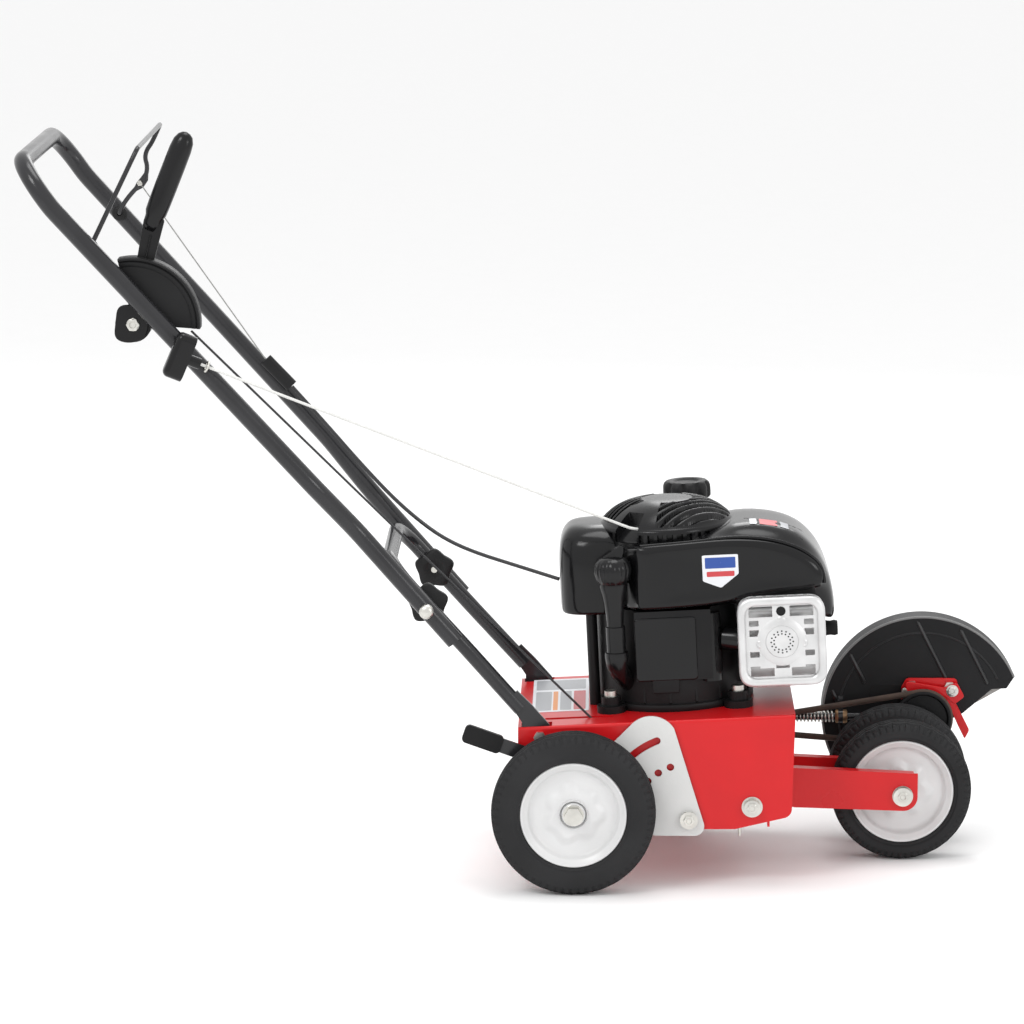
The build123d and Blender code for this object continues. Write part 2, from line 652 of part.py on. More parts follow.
OIL_TUBE = [(-57, -68, 38), (-69.5, -96, 76), (-69.5, -96, 166)]
OIL_POINTS = [ENGINE.from_local_coords(Vector(*point)) for point in OIL_TUBE]
with BuildPart() as oil_filler_tube:
    with BuildLine() as oil_path:
        FilletPolyline(*OIL_POINTS, radius=28)
    with BuildSketch(Plane(origin=OIL_POINTS[0], z_dir=OIL_POINTS[1] - OIL_POINTS[0])):
        Circle(11)
    sweep(path=oil_path.line)
    post(0, 0, CASE_R + 0.05, 0, 135, Mode.SUBTRACT)
    post(-69.5, -96, 15, 60, 74)
    post(-69.5, -96, 9, 112, 170, Mode.SUBTRACT)
save(oil_filler_tube.part, "oil_filler_tube")

with BuildPart() as oil_cap:
    post(-69.5, -96, 25, 172, 200)
    post(-69.5, -96, 17, 200, 214)
    fillet(oil_cap.edges().filter_by(GeomType.CIRCLE), 3)
    post(-69.5, -96, 15, 166.2, 173)
    post(-69.5, -96, 8.9, 150, 168)
    post(-69.5, -96, 2.5, 116, 152)
save(oil_cap.part, "oil_cap")

PLUG_W = 80.0
PLUG_PLANE = Plane(origin=ENGINE.from_local_coords(Vector(186, -10, PLUG_W)), z_dir=ENGINE_FORWARD)
with BuildPart() as spark_plug:
    with BuildSketch(PLUG_PLANE):
        RegularPolygon(10, 6)
    extrude(amount=9)
    with BuildSketch(PLUG_PLANE.offset(9)):
        Circle(7)
    extrude(amount=8)
    with BuildSketch(PLUG_PLANE.offset(17)):
        Circle(9)
    extrude(amount=6)
save(spark_plug.part, "spark_plug")

# ---------------------------------------------------------------- belt idlers and drive belt
IDLER_R = 12.0
UPPER_IDLER_Z = 152.0
LOWER_IDLER_Z = 135.0
IDLER_BEND_R = IDLER_R + BELT_R
for idler_name, idler_z in (("idler_upper", UPPER_IDLER_Z), ("idler_lower", LOWER_IDLER_Z)):
    with BuildPart() as idler:
        with Locations((IDLER_X, IDLER_Y, idler_z)):
            Cylinder(IDLER_R - 0.3, 15.6)
        with Locations((IDLER_X, IDLER_Y, idler_z - 7), (IDLER_X, IDLER_Y, idler_z + 7)):
            Cylinder(15, 1.6)
        with Locations((IDLER_X, IDLER_Y, idler_z)):
            Cylinder(6, 20, mode=Mode.SUBTRACT)
    save(idler.part, idler_name)

# the belt's corner at a wheel lies where its two straight strands would meet
PULLEY_CENTRE = ENGINE.from_local_coords(Vector(0, 0, PULLEY_W))
BELT_REAR_X = PULLEY_CENTRE.X - BELT_BEND_R
BELT_REAR_Z = PULLEY_CENTRE.Z - BELT_BEND_R * tan(radians(DECK_TILT))
LEFT_STRAND = radians(38.19)
RIGHT_STRAND = radians(64.22)
LEFT_REAR_Y = BELT_BEND_R * tan((radians(90) - LEFT_STRAND) / 2)
RIGHT_REAR_Y = -BELT_BEND_R * tan((radians(90) + RIGHT_STRAND) / 2)
LEFT_TURN_X = IDLER_X - IDLER_BEND_R * tan(LEFT_STRAND / 2)
RIGHT_TURN_X = IDLER_X - IDLER_BEND_R * tan(RIGHT_STRAND / 2)
BELT_FRONT_X = SPINDLE_X + BELT_BEND_R
UPPER_STRAND = radians(9.6)
LOWER_STRAND = radians(-4.44)
BELT_CORNERS = [
    (BELT_REAR_X, RIGHT_REAR_Y, BELT_REAR_Z),
    (BELT_REAR_X, LEFT_REAR_Y, BELT_REAR_Z),
    (LEFT_TURN_X, BELT_Y, UPPER_IDLER_Z),
    (BELT_FRONT_X, BELT_Y, UPPER_IDLER_Z + (BELT_FRONT_X - LEFT_TURN_X) * tan(UPPER_STRAND)),
    (BELT_FRONT_X, BELT_Y, LOWER_IDLER_Z + (BELT_FRONT_X - RIGHT_TURN_X) * tan(LOWER_STRAND)),
    (RIGHT_TURN_X, BELT_Y, LOWER_IDLER_Z),
]
# the right-hand rear strand leaves the engine pulley level, then drops to the lower idler;
# the moulded belt is closed in the middle of that strand
BELT_DROP = (
    0.48 * BELT_REAR_X + 0.52 * RIGHT_TURN_X, 0.48 * RIGHT_REAR_Y + 0.52 * BELT_Y, BELT_REAR_Z + 3,
)
BELT_JOIN = (Vector(*BELT_DROP) + Vector(*BELT_CORNERS[-1])) / 2
BELT_JOIN_RUN = (Vector(*BELT_DROP) - Vector(*BELT_CORNERS[-1])).normalized()
BELT_RADII = [60, BELT_BEND_R, BELT_BEND_R, IDLER_BEND_R, BELT_BEND_R, BELT_BEND_R, IDLER_BEND_R]

with BuildPart() as drive_belt:
    with BuildLine() as belt_path:
        FilletPolyline(BELT_JOIN, BELT_DROP, *BELT_CORNERS, BELT_JOIN - BELT_JOIN_RUN * 0.3,
                       radius=BELT_RADII)
    with BuildSketch(Plane(origin=BELT_JOIN, z_dir=BELT_JOIN_RUN)):
        Circle(BELT_R)
    sweep(path=belt_path.line)
save(drive_belt.part, "drive_belt")

# ---------------------------------------------------------------- blade head
ROD_Y = 138.5
ROD_R = 5.0
ROD_START_X = 286.0

with BuildPart() as blade_arm:
    peg(SHAFT_X, SHAFT_Z, 12, 128, 143.5)
    with BuildSketch(side(ROD_Y - 5)):
        with BuildLine():
            Polyline((265, 101), (289, 101), (296, 146), (296, 160), (279, 160), (272, 150),
                     close=True)
        make_face()
    extrude(amount=-10)
    with BuildSketch(Plane.YZ.offset(ROD_START_X)):
        with Locations((ROD_Y, SPINDLE_Z)):
            Circle(ROD_R)
    extrude(amount=200)
    with BuildSketch(Plane.YZ.offset(396)):
        with Locations((ROD_Y, SPINDLE_Z)):
            Circle(9)
        with Locations((ROD_Y, SPINDLE_Z + 14)):
            Rectangle(7, 26)
    extrude(amount=6)
    peg(SHAFT_X, SHAFT_Z, SHAFT_R + 0.05, 120, 150, Mode.SUBTRACT)
save(blade_arm.part, "blade_arm")

SPRING_COILS = 9
SPRING_PITCH = 6.0
with BuildPart() as arm_spring:
    with BuildSketch(Plane(origin=(336, ROD_Y, SPINDLE_Z), z_dir=(0, -1, 0), x_dir=(1, 0, 0))):
        with Locations((SPRING_COILS * SPRING_PITCH / 2, 6)):
            Rectangle(SPRING_COILS * SPRING_PITCH, 1.4)
        with Locations([(SPRING_PITCH * (coil + 0.5), 7) for coil in range(SPRING_COILS)]):
            Rectangle(3, 2.6)
    revolve(axis=Axis((336, ROD_Y, SPINDLE_Z), (1, 0, 0)))
save(arm_spring.part, "arm_spring")

with BuildPart() as spindle_housing:
    peg(SPINDLE_X, SPINDLE_Z, 18, 133.5, 149.4)
    brick(466, 492, 133.5, 143.5, 143, 163)
    peg(SPINDLE_X, SPINDLE_Z, 8.05, 120, 155, Mode.SUBTRACT)
    with BuildSketch(Plane.YZ.offset(460)):
        with Locations((ROD_Y, SPINDLE_Z)):
            Circle(ROD_R)
    extrude(amount=26, mode=Mode.SUBTRACT)
save(spindle_housing.part, "spindle_housing")

GUARD_FRONT = 23
GUARD_REAR = 205
GUARD_Y = 151.0
BAND_R = 108.0
GUARD_BOLTS = ((491, 192), (540, 191))
# rib ends, across and up from the spindle; the four ribs are parallel
GUARD_RIBS = (((-8, 124), (33, 43)), ((48, 113), (85, 40)), ((-94, 80), (-74, 41)),
              ((-117, 32), (-108, 14)))


def about_spindle(angle, distance):
    """Point at an angle and distance from the spindle."""
    return (SPINDLE_X + distance * cos(radians(angle)), SPINDLE_Z + distance * sin(radians(angle)))


with BuildPart() as blade_guard:
    with BuildSketch(side(GUARD_Y)):
        with BuildLine():
            CenterArc((SPINDLE_X, SPINDLE_Z), GUARD_R, GUARD_FRONT, GUARD_REAR - GUARD_FRONT)
            Polyline(
                about_spindle(GUARD_REAR, GUARD_R), (440, 112), (484, 132), (512, 131), (558, 155),
                (595, 187), (614, 188), about_spindle(GUARD_FRONT, GUARD_R),
            )
        make_face()
    extrude(amount=-2)
    # rim
    with BuildSketch(side(GUARD_Y)):
        with BuildLine():
            CenterArc((SPINDLE_X, SPINDLE_Z), GUARD_R, GUARD_FRONT, GUARD_REAR - GUARD_FRONT)
            Line(about_spindle(GUARD_REAR, GUARD_R), about_spindle(GUARD_REAR, GUARD_R - 3))
            CenterArc((SPINDLE_X, SPINDLE_Z), GUARD_R - 3, GUARD_REAR, GUARD_FRONT - GUARD_REAR)
            Line(about_spindle(GUARD_FRONT, GUARD_R - 3), about_spindle(GUARD_FRONT, GUARD_R))
        make_face()
    extrude(amount=-35)
    # stiffening ribs on the inner face
    for (rib_x, rib_z), (foot_x, foot_z) in GUARD_RIBS:
        rib_length = hypot(foot_x - rib_x, foot_z - rib_z)
        rib_plane = Plane(origin=(SPINDLE_X + rib_x, 149.4, SPINDLE_Z + rib_z), z_dir=(0, -1, 0),
                          x_dir=(foot_x - rib_x, 0, foot_z - rib_z))
        with BuildSketch(rib_plane):
            with Locations((rib_length / 2, 0)):
                Rectangle(rib_length, 3.5)
        extrude(amount=-2)
    # raised band along the rim
    with BuildSketch(side(GUARD_Y - 0.9)):
        with BuildLine():
            CenterArc((SPINDLE_X, SPINDLE_Z), GUARD_R, GUARD_FRONT, GUARD_REAR - GUARD_FRONT)
            Line(about_spindle(GUARD_REAR, GUARD_R), about_spindle(GUARD_REAR, BAND_R))
            CenterArc((SPINDLE_X, SPINDLE_Z), BAND_R, GUARD_REAR, GUARD_FRONT - GUARD_REAR)
            Line(about_spindle(GUARD_FRONT, BAND_R), about_spindle(GUARD_FRONT, GUARD_R))
        make_face()
    extrude(amount=-1.5)
    peg(SPINDLE_X, SPINDLE_Z, 14.3, 148, 155, Mode.SUBTRACT)
    for bolt_x, bolt_z in GUARD_BOLTS:
        peg(bolt_x, bolt_z, 3.6, 145, 155, Mode.SUBTRACT)
save(blade_guard.part, "blade_guard")

with BuildPart() as guard_bracket:
    with BuildSketch(side(146.2)) as bracket_outline:
        with BuildLine():
            Polyline((478, 134), (478, 190), (484, 202), (549, 202), (553, 180), (530, 134),
                     close=True)
        make_face()
        fillet(bracket_outline.vertices(), 6)
    extrude(amount=-3)
    peg(SPINDLE_X, SPINDLE_Z, 18, 140, 155, Mode.SUBTRACT)
    for bolt_x, bolt_z in GUARD_BOLTS:
        peg(bolt_x, bolt_z, 3.6, 140, 155, Mode.SUBTRACT)
save(guard_bracket.part, "guard_bracket")

with BuildPart() as guard_bolts:
    for bolt_x, bolt_z in GUARD_BOLTS:
        hex_peg(bolt_x, bolt_z, 7.5, 141, 146.2)
        peg(bolt_x, bolt_z, 3.5, 146, 153)
        hex_peg(bolt_x, bolt_z, 6.5, 153, 157)
save(guard_bolts.part, "guard_bolts")

with BuildPart() as spindle_shaft:
    peg(SPINDLE_X, SPINDLE_Z, 8, 120.5, 172)
    peg(SPINDLE_X, SPINDLE_Z, 14, 149.7, 160)
save(spindle_shaft.part, "spindle_shaft")

with BuildPart() as spindle_pulley:
    peg(SPINDLE_X, SPINDLE_Z, 36.5, 120.5, 132.5)
    with BuildSketch(wheel_section(SPINDLE_X, BELT_Y, SPINDLE_Z)):
        with Locations((0, 38)):
            Rectangle(8.6, 14.8)
    revolve(axis=axle_axis(SPINDLE_X, SPINDLE_Z), mode=Mode.SUBTRACT)
    peg(SPINDLE_X, SPINDLE_Z, 8, 110, 140, Mode.SUBTRACT)
save(spindle_pulley.part, "spindle_pulley")

with BuildPart() as blade:
    with BuildSketch(side(160)):
        with Locations((SPINDLE_X, SPINDLE_Z)):
            with PolarLocations(0, 3, start_angle=-90):
                Rectangle(BLADE_R, 46, align=(Align.MIN, Align.CENTER))
            Circle(38)
            Circle(BLADE_R, mode=Mode.INTERSECT)
    extrude(amount=-3.5)
    peg(SPINDLE_X, SPINDLE_Z, 8, 150, 170, Mode.SUBTRACT)
save(blade.part, "blade")

with BuildPart() as blade_nut:
    peg(SPINDLE_X, SPINDLE_Z, 17, 163.5, 165.5)
    hex_peg(SPINDLE_X, SPINDLE_Z, 13, 165.5, 171)
    peg(SPINDLE_X, SPINDLE_Z, 8, 150, 175, Mode.SUBTRACT)
save(blade_nut.part, "blade_nut")

# ---------------------------------------------------------------- depth lever and its quadrant
def about_lever(angle, distance):
    """Point at an angle and distance from the depth lever's pivot."""
    return (LEVER_X + distance * cos(radians(angle)), LEVER_Z + distance * sin(radians(angle)))


QUADRANT_R = 80.0
with BuildPart() as lever_quadrant:
    with BuildSketch(side(-176)):
        with BuildLine():
            CenterArc((LEVER_X, LEVER_Z), QUADRANT_R, -4, 107)
            Polyline(about_lever(103, QUADRANT_R), (LEVER_X, LEVER_Z), about_lever(-4, QUADRANT_R))
        make_face()
        with Locations((LEVER_X, LEVER_Z)):
            Circle(22)
    extrude(amount=-26)
    # slot that the lever swings in
    with BuildSketch(side(-164)):
        with BuildLine():
            CenterArc((LEVER_X, LEVER_Z), QUADRANT_R + 5, 8, 90)
            Polyline(about_lever(98, QUADRANT_R + 5), (LEVER_X, LEVER_Z),
                     about_lever(8, QUADRANT_R + 5))
        make_face()
        with Locations((LEVER_X, LEVER_Z)):
            Circle(16)
    extrude(amount=-6, mode=Mode.SUBTRACT)
    # pivot pin
    peg(LEVER_X, LEVER_Z, 4, -165, -157)
    # bracket to the handle leg
    brick(LEVER_X - 8, LEVER_X + 8, -178.2, -176, LEVER_Z - 2, LEVER_Z + 20)
save(lever_quadrant.part, "lever_quadrant")

LEVER_NECK = (-464.0, 788.0)
LEVER_GRIP = (-452.0, 840.0)
LEVER_TIP = (-413.7, 935.0)
NECK_ANGLE = degrees(atan2(LEVER_NECK[1] - LEVER_Z, LEVER_NECK[0] - LEVER_X))
GRIP_ANGLE = degrees(atan2(LEVER_TIP[1] - LEVER_GRIP[1], LEVER_TIP[0] - LEVER_GRIP[0]))
with BuildPart() as depth_lever:
    peg(LEVER_X, LEVER_Z, 12, -163.5, -158.5)
    with BuildSketch(Plane(origin=(LEVER_X, -163.5, LEVER_Z), z_dir=(0, -1, 0),
                           x_dir=(cos(radians(NECK_ANGLE)), 0, sin(radians(NECK_ANGLE))))):
        with BuildLine():
            Polyline((0, -5), (0, 5), (20, 5), (66, 9), (92, 9), (92, -9), (66, -9), (20, -5),
                     close=True)
        make_face()
    extrude(amount=-5)
    with BuildSketch(side(-173)):
        with BuildLine():
            Polyline((-472, 790), (-456, 787), (-440, 838), (-404, 928), (-408, 940), (-420, 940),
                     (-465, 845), close=True)
        make_face()
    extrude(amount=-24)
    grip_edges = depth_lever.edges().filter_by_position(Axis.Z, 830, 960)
    fillet(grip_edges, 4)
    peg(LEVER_X, LEVER_Z, 4.05, -170, -150, Mode.SUBTRACT)
save(depth_lever.part, "depth_lever")

# ---------------------------------------------------------------- bail
BAIL_PATH = mirrored([
    (BAIL_X, 187, BAIL_Z), (BAIL_X, 173, BAIL_Z), (-474, 155, 917),
])
BAIL_R = 3.0
with BuildPart() as bail:
    with BuildLine() as bail_line:
        FilletPolyline(*BAIL_PATH, radius=[7, 26, 26, 7])
    with BuildSketch(Plane(origin=BAIL_PATH[0], z_dir=(0, 1, 0))):
        Circle(BAIL_R)
    sweep(path=bail_line.line)
save(bail.part, "bail")

# ---------------------------------------------------------------- starter rope, guide and grip
ROPE_RUN = GUIDE - ROPE_END
ROPE_DIR = ROPE_RUN.normalized()
GRIP_LONG = Vector(0.366, 0, 0.93)
GRIP_GAP = 8.0

with BuildPart() as rope_guide:
    ring_plane = Plane(origin=GUIDE, x_dir=(0, 1, 0), z_dir=Vector(0, 1, 0).cross(ROPE_DIR))
    with BuildSketch(ring_plane):
        with Locations((6, 0)):
            Circle(1.7)
    revolve(axis=Axis(GUIDE, ROPE_DIR))
    stem_dir = Vector(0, 17.5, -12).normalized()
    with BuildSketch(Plane(origin=GUIDE + stem_dir * 6, z_dir=stem_dir)):
        Circle(2)
    extrude(amount=2.0)
save(rope_guide.part, "rope_guide")

with BuildPart() as starter_grip:
    with BuildSketch(Plane(origin=GUIDE + ROPE_DIR * GRIP_GAP, z_dir=ROPE_DIR)):
        Circle(7)
    extrude(amount=18)
    bar_plane = Plane(origin=GUIDE + ROPE_DIR * (GRIP_GAP + 15), x_dir=GRIP_LONG, z_dir=ROPE_DIR)
    with BuildSketch(bar_plane):
        RectangleRounded(58, 19, 9)
    extrude(amount=24)
    fillet(starter_grip.faces().sort_by(Axis(GUIDE, ROPE_DIR))[-1].edges(), 7)
save(starter_grip.part, "starter_grip")

REEL_TANGENT = ENGINE.from_local_coords(Vector(18.2, -48.6, 217))
ROPE_START = GUIDE + ROPE_DIR * GRIP_GAP
with BuildPart() as starter_rope:
    with BuildLine() as rope_path:
        FilletPolyline(ROPE_START, ROPE_END, REEL_TANGENT, radius=12)
    with BuildSketch(Plane(origin=ROPE_START, z_dir=ROPE_DIR * -1)):
        Circle(ROPE_R)
    sweep(path=rope_path.line)
save(starter_rope.part, "starter_rope")

# ---------------------------------------------------------------- depth cable and throttle cable
CABLE_TOP = Vector(-411, -155.3, 694.7)
CABLE_RUN = Vector(491.7, 50, -494.7).normalized()
CABLE_LENGTH = 725.0
with BuildPart() as control_cable:
    with BuildSketch(Plane(origin=CABLE_TOP, z_dir=CABLE_RUN)):
        Circle(ROPE_R)
    extrude(amount=CABLE_LENGTH)
save(control_cable.part, "control_cable")

SHEATH_ROUTE = [
    (-309.5, 163.5, 578.5), (-268, 160, 533), (-222, 149, 482), (-178, 138, 437),
    (-142, 126, 408), (-110, 104, 390), (-72, 78, 378), (-20, 50, 367), (35.6, 24, 354.4),
]
SHEATH_R = 2.5
SHEATH_RADII = route_radii(SHEATH_ROUTE)
print("throttle cable radii", [round(radius, 1) for radius in SHEATH_RADII])
SHEATH_START = Vector(*SHEATH_ROUTE[1]) - Vector(*SHEATH_ROUTE[0])
BAIL_WIRE_TOP = Vector(-499, 158, 824)
BAIL_WIRE_RUN = Vector(-343.9, 163.5, 614.8) - BAIL_WIRE_TOP
with BuildPart() as throttle_cable:
    with BuildLine() as sheath_path:
        FilletPolyline(*SHEATH_ROUTE, radius=SHEATH_RADII)
    with BuildSketch(Plane(origin=SHEATH_ROUTE[0], z_dir=SHEATH_START)):
        Circle(SHEATH_R)
    sweep(path=sheath_path.line)
    with BuildSketch(Plane(origin=BAIL_WIRE_TOP, z_dir=BAIL_WIRE_RUN)):
        Circle(1.0)
    extrude(amount=BAIL_WIRE_RUN.length)
save(throttle_cable.part, "throttle_cable")

CLAMP_SLOPE = Vector(33.5, 0, -35.0).normalized()
CLAMP_PLANE = Plane(origin=(-343, 163.5, 613.5), z_dir=CLAMP_SLOPE, x_dir=(0, 1, 0))
with BuildPart() as cable_clamp:
    with BuildSketch(CLAMP_PLANE):
        RectangleRounded(10, 17, 4.5)
    extrude(amount=47.6)
save(cable_clamp.part, "cable_clamp")

# ---------------------------------------------------------------- star knobs of the handle joint
for knob_name, knob_y in (("knob_right", -123.5), ("knob_left", 109.0)):
    with BuildPart() as knob:
        with BuildSketch(side(knob_y)):
            with Locations((FOLD_X, FOLD_Z)):
                Circle(17)
                with PolarLocations(17.5, 5, start_angle=90):
                    Circle(8.5)
        extrude(amount=-14.5)
        chamfer(knob.edges().filter_by(Plane.XZ), 1.5)
        peg(FOLD_X, FOLD_Z, PIVOT_HOLE_R, -130, 130, Mode.SUBTRACT)
    save(knob.part, knob_name)
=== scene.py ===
import json
from math import asin, cos, pi, radians, sin, tan, tau

import bmesh
import bpy
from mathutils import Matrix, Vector
from mathutils.bvhtree import BVHTree


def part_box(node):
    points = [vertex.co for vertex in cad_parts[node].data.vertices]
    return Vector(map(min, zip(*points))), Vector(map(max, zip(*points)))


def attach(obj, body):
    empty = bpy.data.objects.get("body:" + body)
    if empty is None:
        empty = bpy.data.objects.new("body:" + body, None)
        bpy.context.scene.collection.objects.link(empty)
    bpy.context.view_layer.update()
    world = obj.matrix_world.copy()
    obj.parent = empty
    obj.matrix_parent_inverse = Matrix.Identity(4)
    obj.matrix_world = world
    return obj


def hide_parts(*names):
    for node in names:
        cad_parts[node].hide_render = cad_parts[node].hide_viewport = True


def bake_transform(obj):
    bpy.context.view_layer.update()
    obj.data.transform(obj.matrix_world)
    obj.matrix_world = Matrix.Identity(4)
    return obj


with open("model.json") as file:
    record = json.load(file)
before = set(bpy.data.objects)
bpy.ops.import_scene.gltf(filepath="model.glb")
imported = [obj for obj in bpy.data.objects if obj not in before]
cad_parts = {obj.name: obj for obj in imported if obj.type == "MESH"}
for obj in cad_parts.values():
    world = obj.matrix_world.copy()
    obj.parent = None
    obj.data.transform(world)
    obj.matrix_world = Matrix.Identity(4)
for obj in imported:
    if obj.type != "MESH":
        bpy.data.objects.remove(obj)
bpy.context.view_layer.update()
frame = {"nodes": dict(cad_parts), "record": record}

nodes = frame["nodes"]
show = bpy.context.scene.collection.objects.link
MM = 0.001


# ---------- materials
def material(name, color, rough=0.4, metal=0.0, mottle=0.08, mottle_scale=14.0, grain=0.15,
             grain_scale=900.0, grain_depth=0.0002, coat=0.0, coat_rough=0.1, rough_spread=0.1,
             specks=None, speck_scale=60.0, speck_share=0.08, specular=0.5):
    """Procedural finish: colour and roughness that drift together, and a fine surface grain."""
    m = bpy.data.materials.new(name)
    m.use_nodes = True
    tree = m.node_tree
    link = tree.links.new
    shader = tree.nodes["Principled BSDF"]

    def fill(node, values):
        for key, value in values.items():
            node.inputs[key].default_value = value
        return node

    def noise(**values):
        node = fill(tree.nodes.new("ShaderNodeTexNoise"), values)
        link(place.outputs["Object"], node.inputs["Vector"])
        return node.outputs["Fac"]

    def ramp(fac, low, high):
        node = tree.nodes.new("ShaderNodeValToRGB")
        node.color_ramp.elements[0].position = low
        node.color_ramp.elements[1].position = high
        link(fac, node.inputs["Fac"])
        return node

    fill(shader, {"Metallic": metal, "Coat Weight": coat, "Coat Roughness": coat_rough,
                  "Specular IOR Level": specular})
    place = tree.nodes.new("ShaderNodeTexCoord")
    drift = noise(Scale=mottle_scale, Detail=6.0)
    shade = ramp(drift, 0.3, 0.7)
    shade.color_ramp.elements[0].color = (*[c * (1 - mottle) for c in color], 1)
    shade.color_ramp.elements[1].color = (*[min(1, c * (1 + mottle)) for c in color], 1)
    tint = shade.outputs["Color"]
    if specks:
        cut = ramp(noise(Scale=speck_scale, Detail=9.0, Roughness=0.7), 0.66 - speck_share, 0.74 - speck_share)
        mix = tree.nodes.new("ShaderNodeMix")
        mix.data_type = "RGBA"
        link(cut.outputs["Color"], mix.inputs["Factor"])
        link(tint, mix.inputs["A"])
        mix.inputs["B"].default_value = (*specks, 1)
        tint = mix.outputs["Result"]
    link(tint, shader.inputs["Base Color"])
    spread = fill(tree.nodes.new("ShaderNodeMapRange"),
                  {"To Min": max(0.03, rough - rough_spread), "To Max": min(1.0, rough + rough_spread)})
    link(drift, spread.inputs["Value"])
    link(spread.outputs["Result"], shader.inputs["Roughness"])
    bump = fill(tree.nodes.new("ShaderNodeBump"), {"Strength": grain, "Distance": grain_depth})
    link(noise(Scale=grain_scale, Detail=3.0), bump.inputs["Height"])
    link(bump.outputs["Normal"], shader.inputs["Normal"])
    return m


RED = material("red_powder_coat", (0.58, 0.008, 0.011), 0.3, mottle=0.05, grain=0.2, specular=0.28,
               grain_scale=420, grain_depth=0.0003, coat=0.12, rough_spread=0.06)
HANDLE = material("black_gloss_tube_paint", (0.02, 0.02, 0.022), 0.2, mottle=0.2, grain=0.12,
                  grain_scale=380, grain_depth=0.0003, specular=0.42)
BLACK_PAINT = material("engine_black_enamel", (0.005, 0.005, 0.0055), 0.16, mottle=0.2, grain=0.08,
                       grain_scale=260, rough_spread=0.05, specular=0.3)
CASTING = material("black_casting", (0.007, 0.007, 0.0075), 0.4, mottle=0.3, grain=0.4,
                   grain_depth=0.0005, rough_spread=0.12, specular=0.22)
PLASTIC = material("black_textured_plastic", (0.009, 0.009, 0.0095), 0.46, mottle=0.25, grain=0.4,
                   grain_scale=1600, grain_depth=0.0004, specular=0.25)
SHINY_PLASTIC = material("black_gloss_plastic", (0.006, 0.006, 0.0065), 0.22, mottle=0.2,
                         grain=0.1, grain_scale=500, rough_spread=0.06, specular=0.3)
GUARD_PLASTIC = material("guard_black_plastic", (0.012, 0.012, 0.013), 0.5, mottle=0.3,
                         mottle_scale=9, grain=0.4, grain_scale=1200, grain_depth=0.0005, specular=0.2)
# lighter and glossier copy of the guard plastic for its ribs and band step; the lighter colour is painted
# highlight
GUARD_RIB_HIGHLIGHT = material("guard_rib_painted_highlight", (0.022, 0.022, 0.023), 0.3, mottle=0.2, grain=0.3,
                     specular=0.45)
# pale grey for the guard's lip: painted highlight along the rim flange
GUARD_LIP_HIGHLIGHT = material("guard_lip_painted_highlight", (0.2, 0.2, 0.2), 0.5, mottle=0.1, grain=0.3,
                     specular=0.2)
RUBBER = material("tyre_rubber", (0.024, 0.024, 0.025), 0.68, mottle=0.25, mottle_scale=10, specular=0.15,
                  grain=0.5, grain_scale=1000, grain_depth=0.0005, rough_spread=0.14)
GRIP_RUBBER = material("grip_rubber", (0.01, 0.01, 0.0105), 0.58, mottle=0.25, grain=0.5,
                       grain_scale=1500, grain_depth=0.0004, specular=0.2)
RIM_WHITE = material("wheel_light_grey_enamel", (0.66, 0.66, 0.66), 0.33, mottle=0.05, grain=0.2,
                     grain_scale=300, coat=0.25, coat_rough=0.2, rough_spread=0.08)
PLATE_GREY = material("plate_light_grey_powder", (0.62, 0.62, 0.61), 0.42, mottle=0.06, grain=0.45,
                      grain_scale=700, grain_depth=0.0004, rough_spread=0.08)
ZINC = material("zinc_plate", (0.62, 0.61, 0.57), 0.33, 1.0, mottle=0.14, mottle_scale=55,
                grain=0.3, grain_scale=1400, rough_spread=0.12)
BRIGHT = material("bright_aluminised_steel", (0.66, 0.66, 0.66), 0.36, 0.55, mottle=0.08,
                  mottle_scale=40, grain=0.4, grain_scale=1100, rough_spread=0.12)
CAST_ALU = material("cast_aluminium", (0.42, 0.42, 0.42), 0.5, 0.85, mottle=0.18, mottle_scale=60,
                    grain=0.7, grain_depth=0.0006)
BRONZE = material("brown_anodised_collar", (0.25, 0.15, 0.08), 0.45, 0.7, mottle=0.2,
                  mottle_scale=80, grain=0.4, grain_scale=1200)
BELT = material("brown_black_belt", (0.055, 0.035, 0.026), 0.8, mottle=0.3, mottle_scale=70,
                grain=0.8, grain_scale=1500, grain_depth=0.0005)
STEEL = material("blade_steel", (0.3, 0.29, 0.28), 0.42, 0.95, mottle=0.2, mottle_scale=30,
                 grain=0.5, grain_scale=1300, specks=(0.12, 0.06, 0.03), speck_share=0.1)
ROPE = material("white_braid", (0.74, 0.74, 0.72), 0.85, mottle=0.1, mottle_scale=400, grain=0.9,
                grain_scale=2400, grain_depth=0.0004, specular=0.2)
SHEATH = material("cable_sheath", (0.02, 0.02, 0.022), 0.45, mottle=0.2, mottle_scale=60,
                  grain=0.3, grain_scale=1400)
WIRE = material("steel_wire", (0.3, 0.3, 0.29), 0.4, 0.9, mottle=0.15, mottle_scale=200,
                grain=0.5, grain_scale=2600)
LABEL_WHITE, LABEL_RED, LABEL_ORANGE, LABEL_GREY, LABEL_BLUE = (
    material(f"label_{name}_vinyl", color, 0.35, mottle=mottle, grain=0.1, grain_scale=500)
    for name, color, mottle in (
        ("white", (0.74, 0.75, 0.78), 0.03), ("red", (0.55, 0.05, 0.06), 0.04),
        ("orange", (0.75, 0.24, 0.02), 0.04), ("grey", (0.35, 0.36, 0.38), 0.06),
        ("blue", (0.02, 0.07, 0.32), 0.05)))
FLOOR = material("pale_floor", (0.94, 0.94, 0.94), 0.85, mottle=0.003, grain=0.02, specular=0.05)

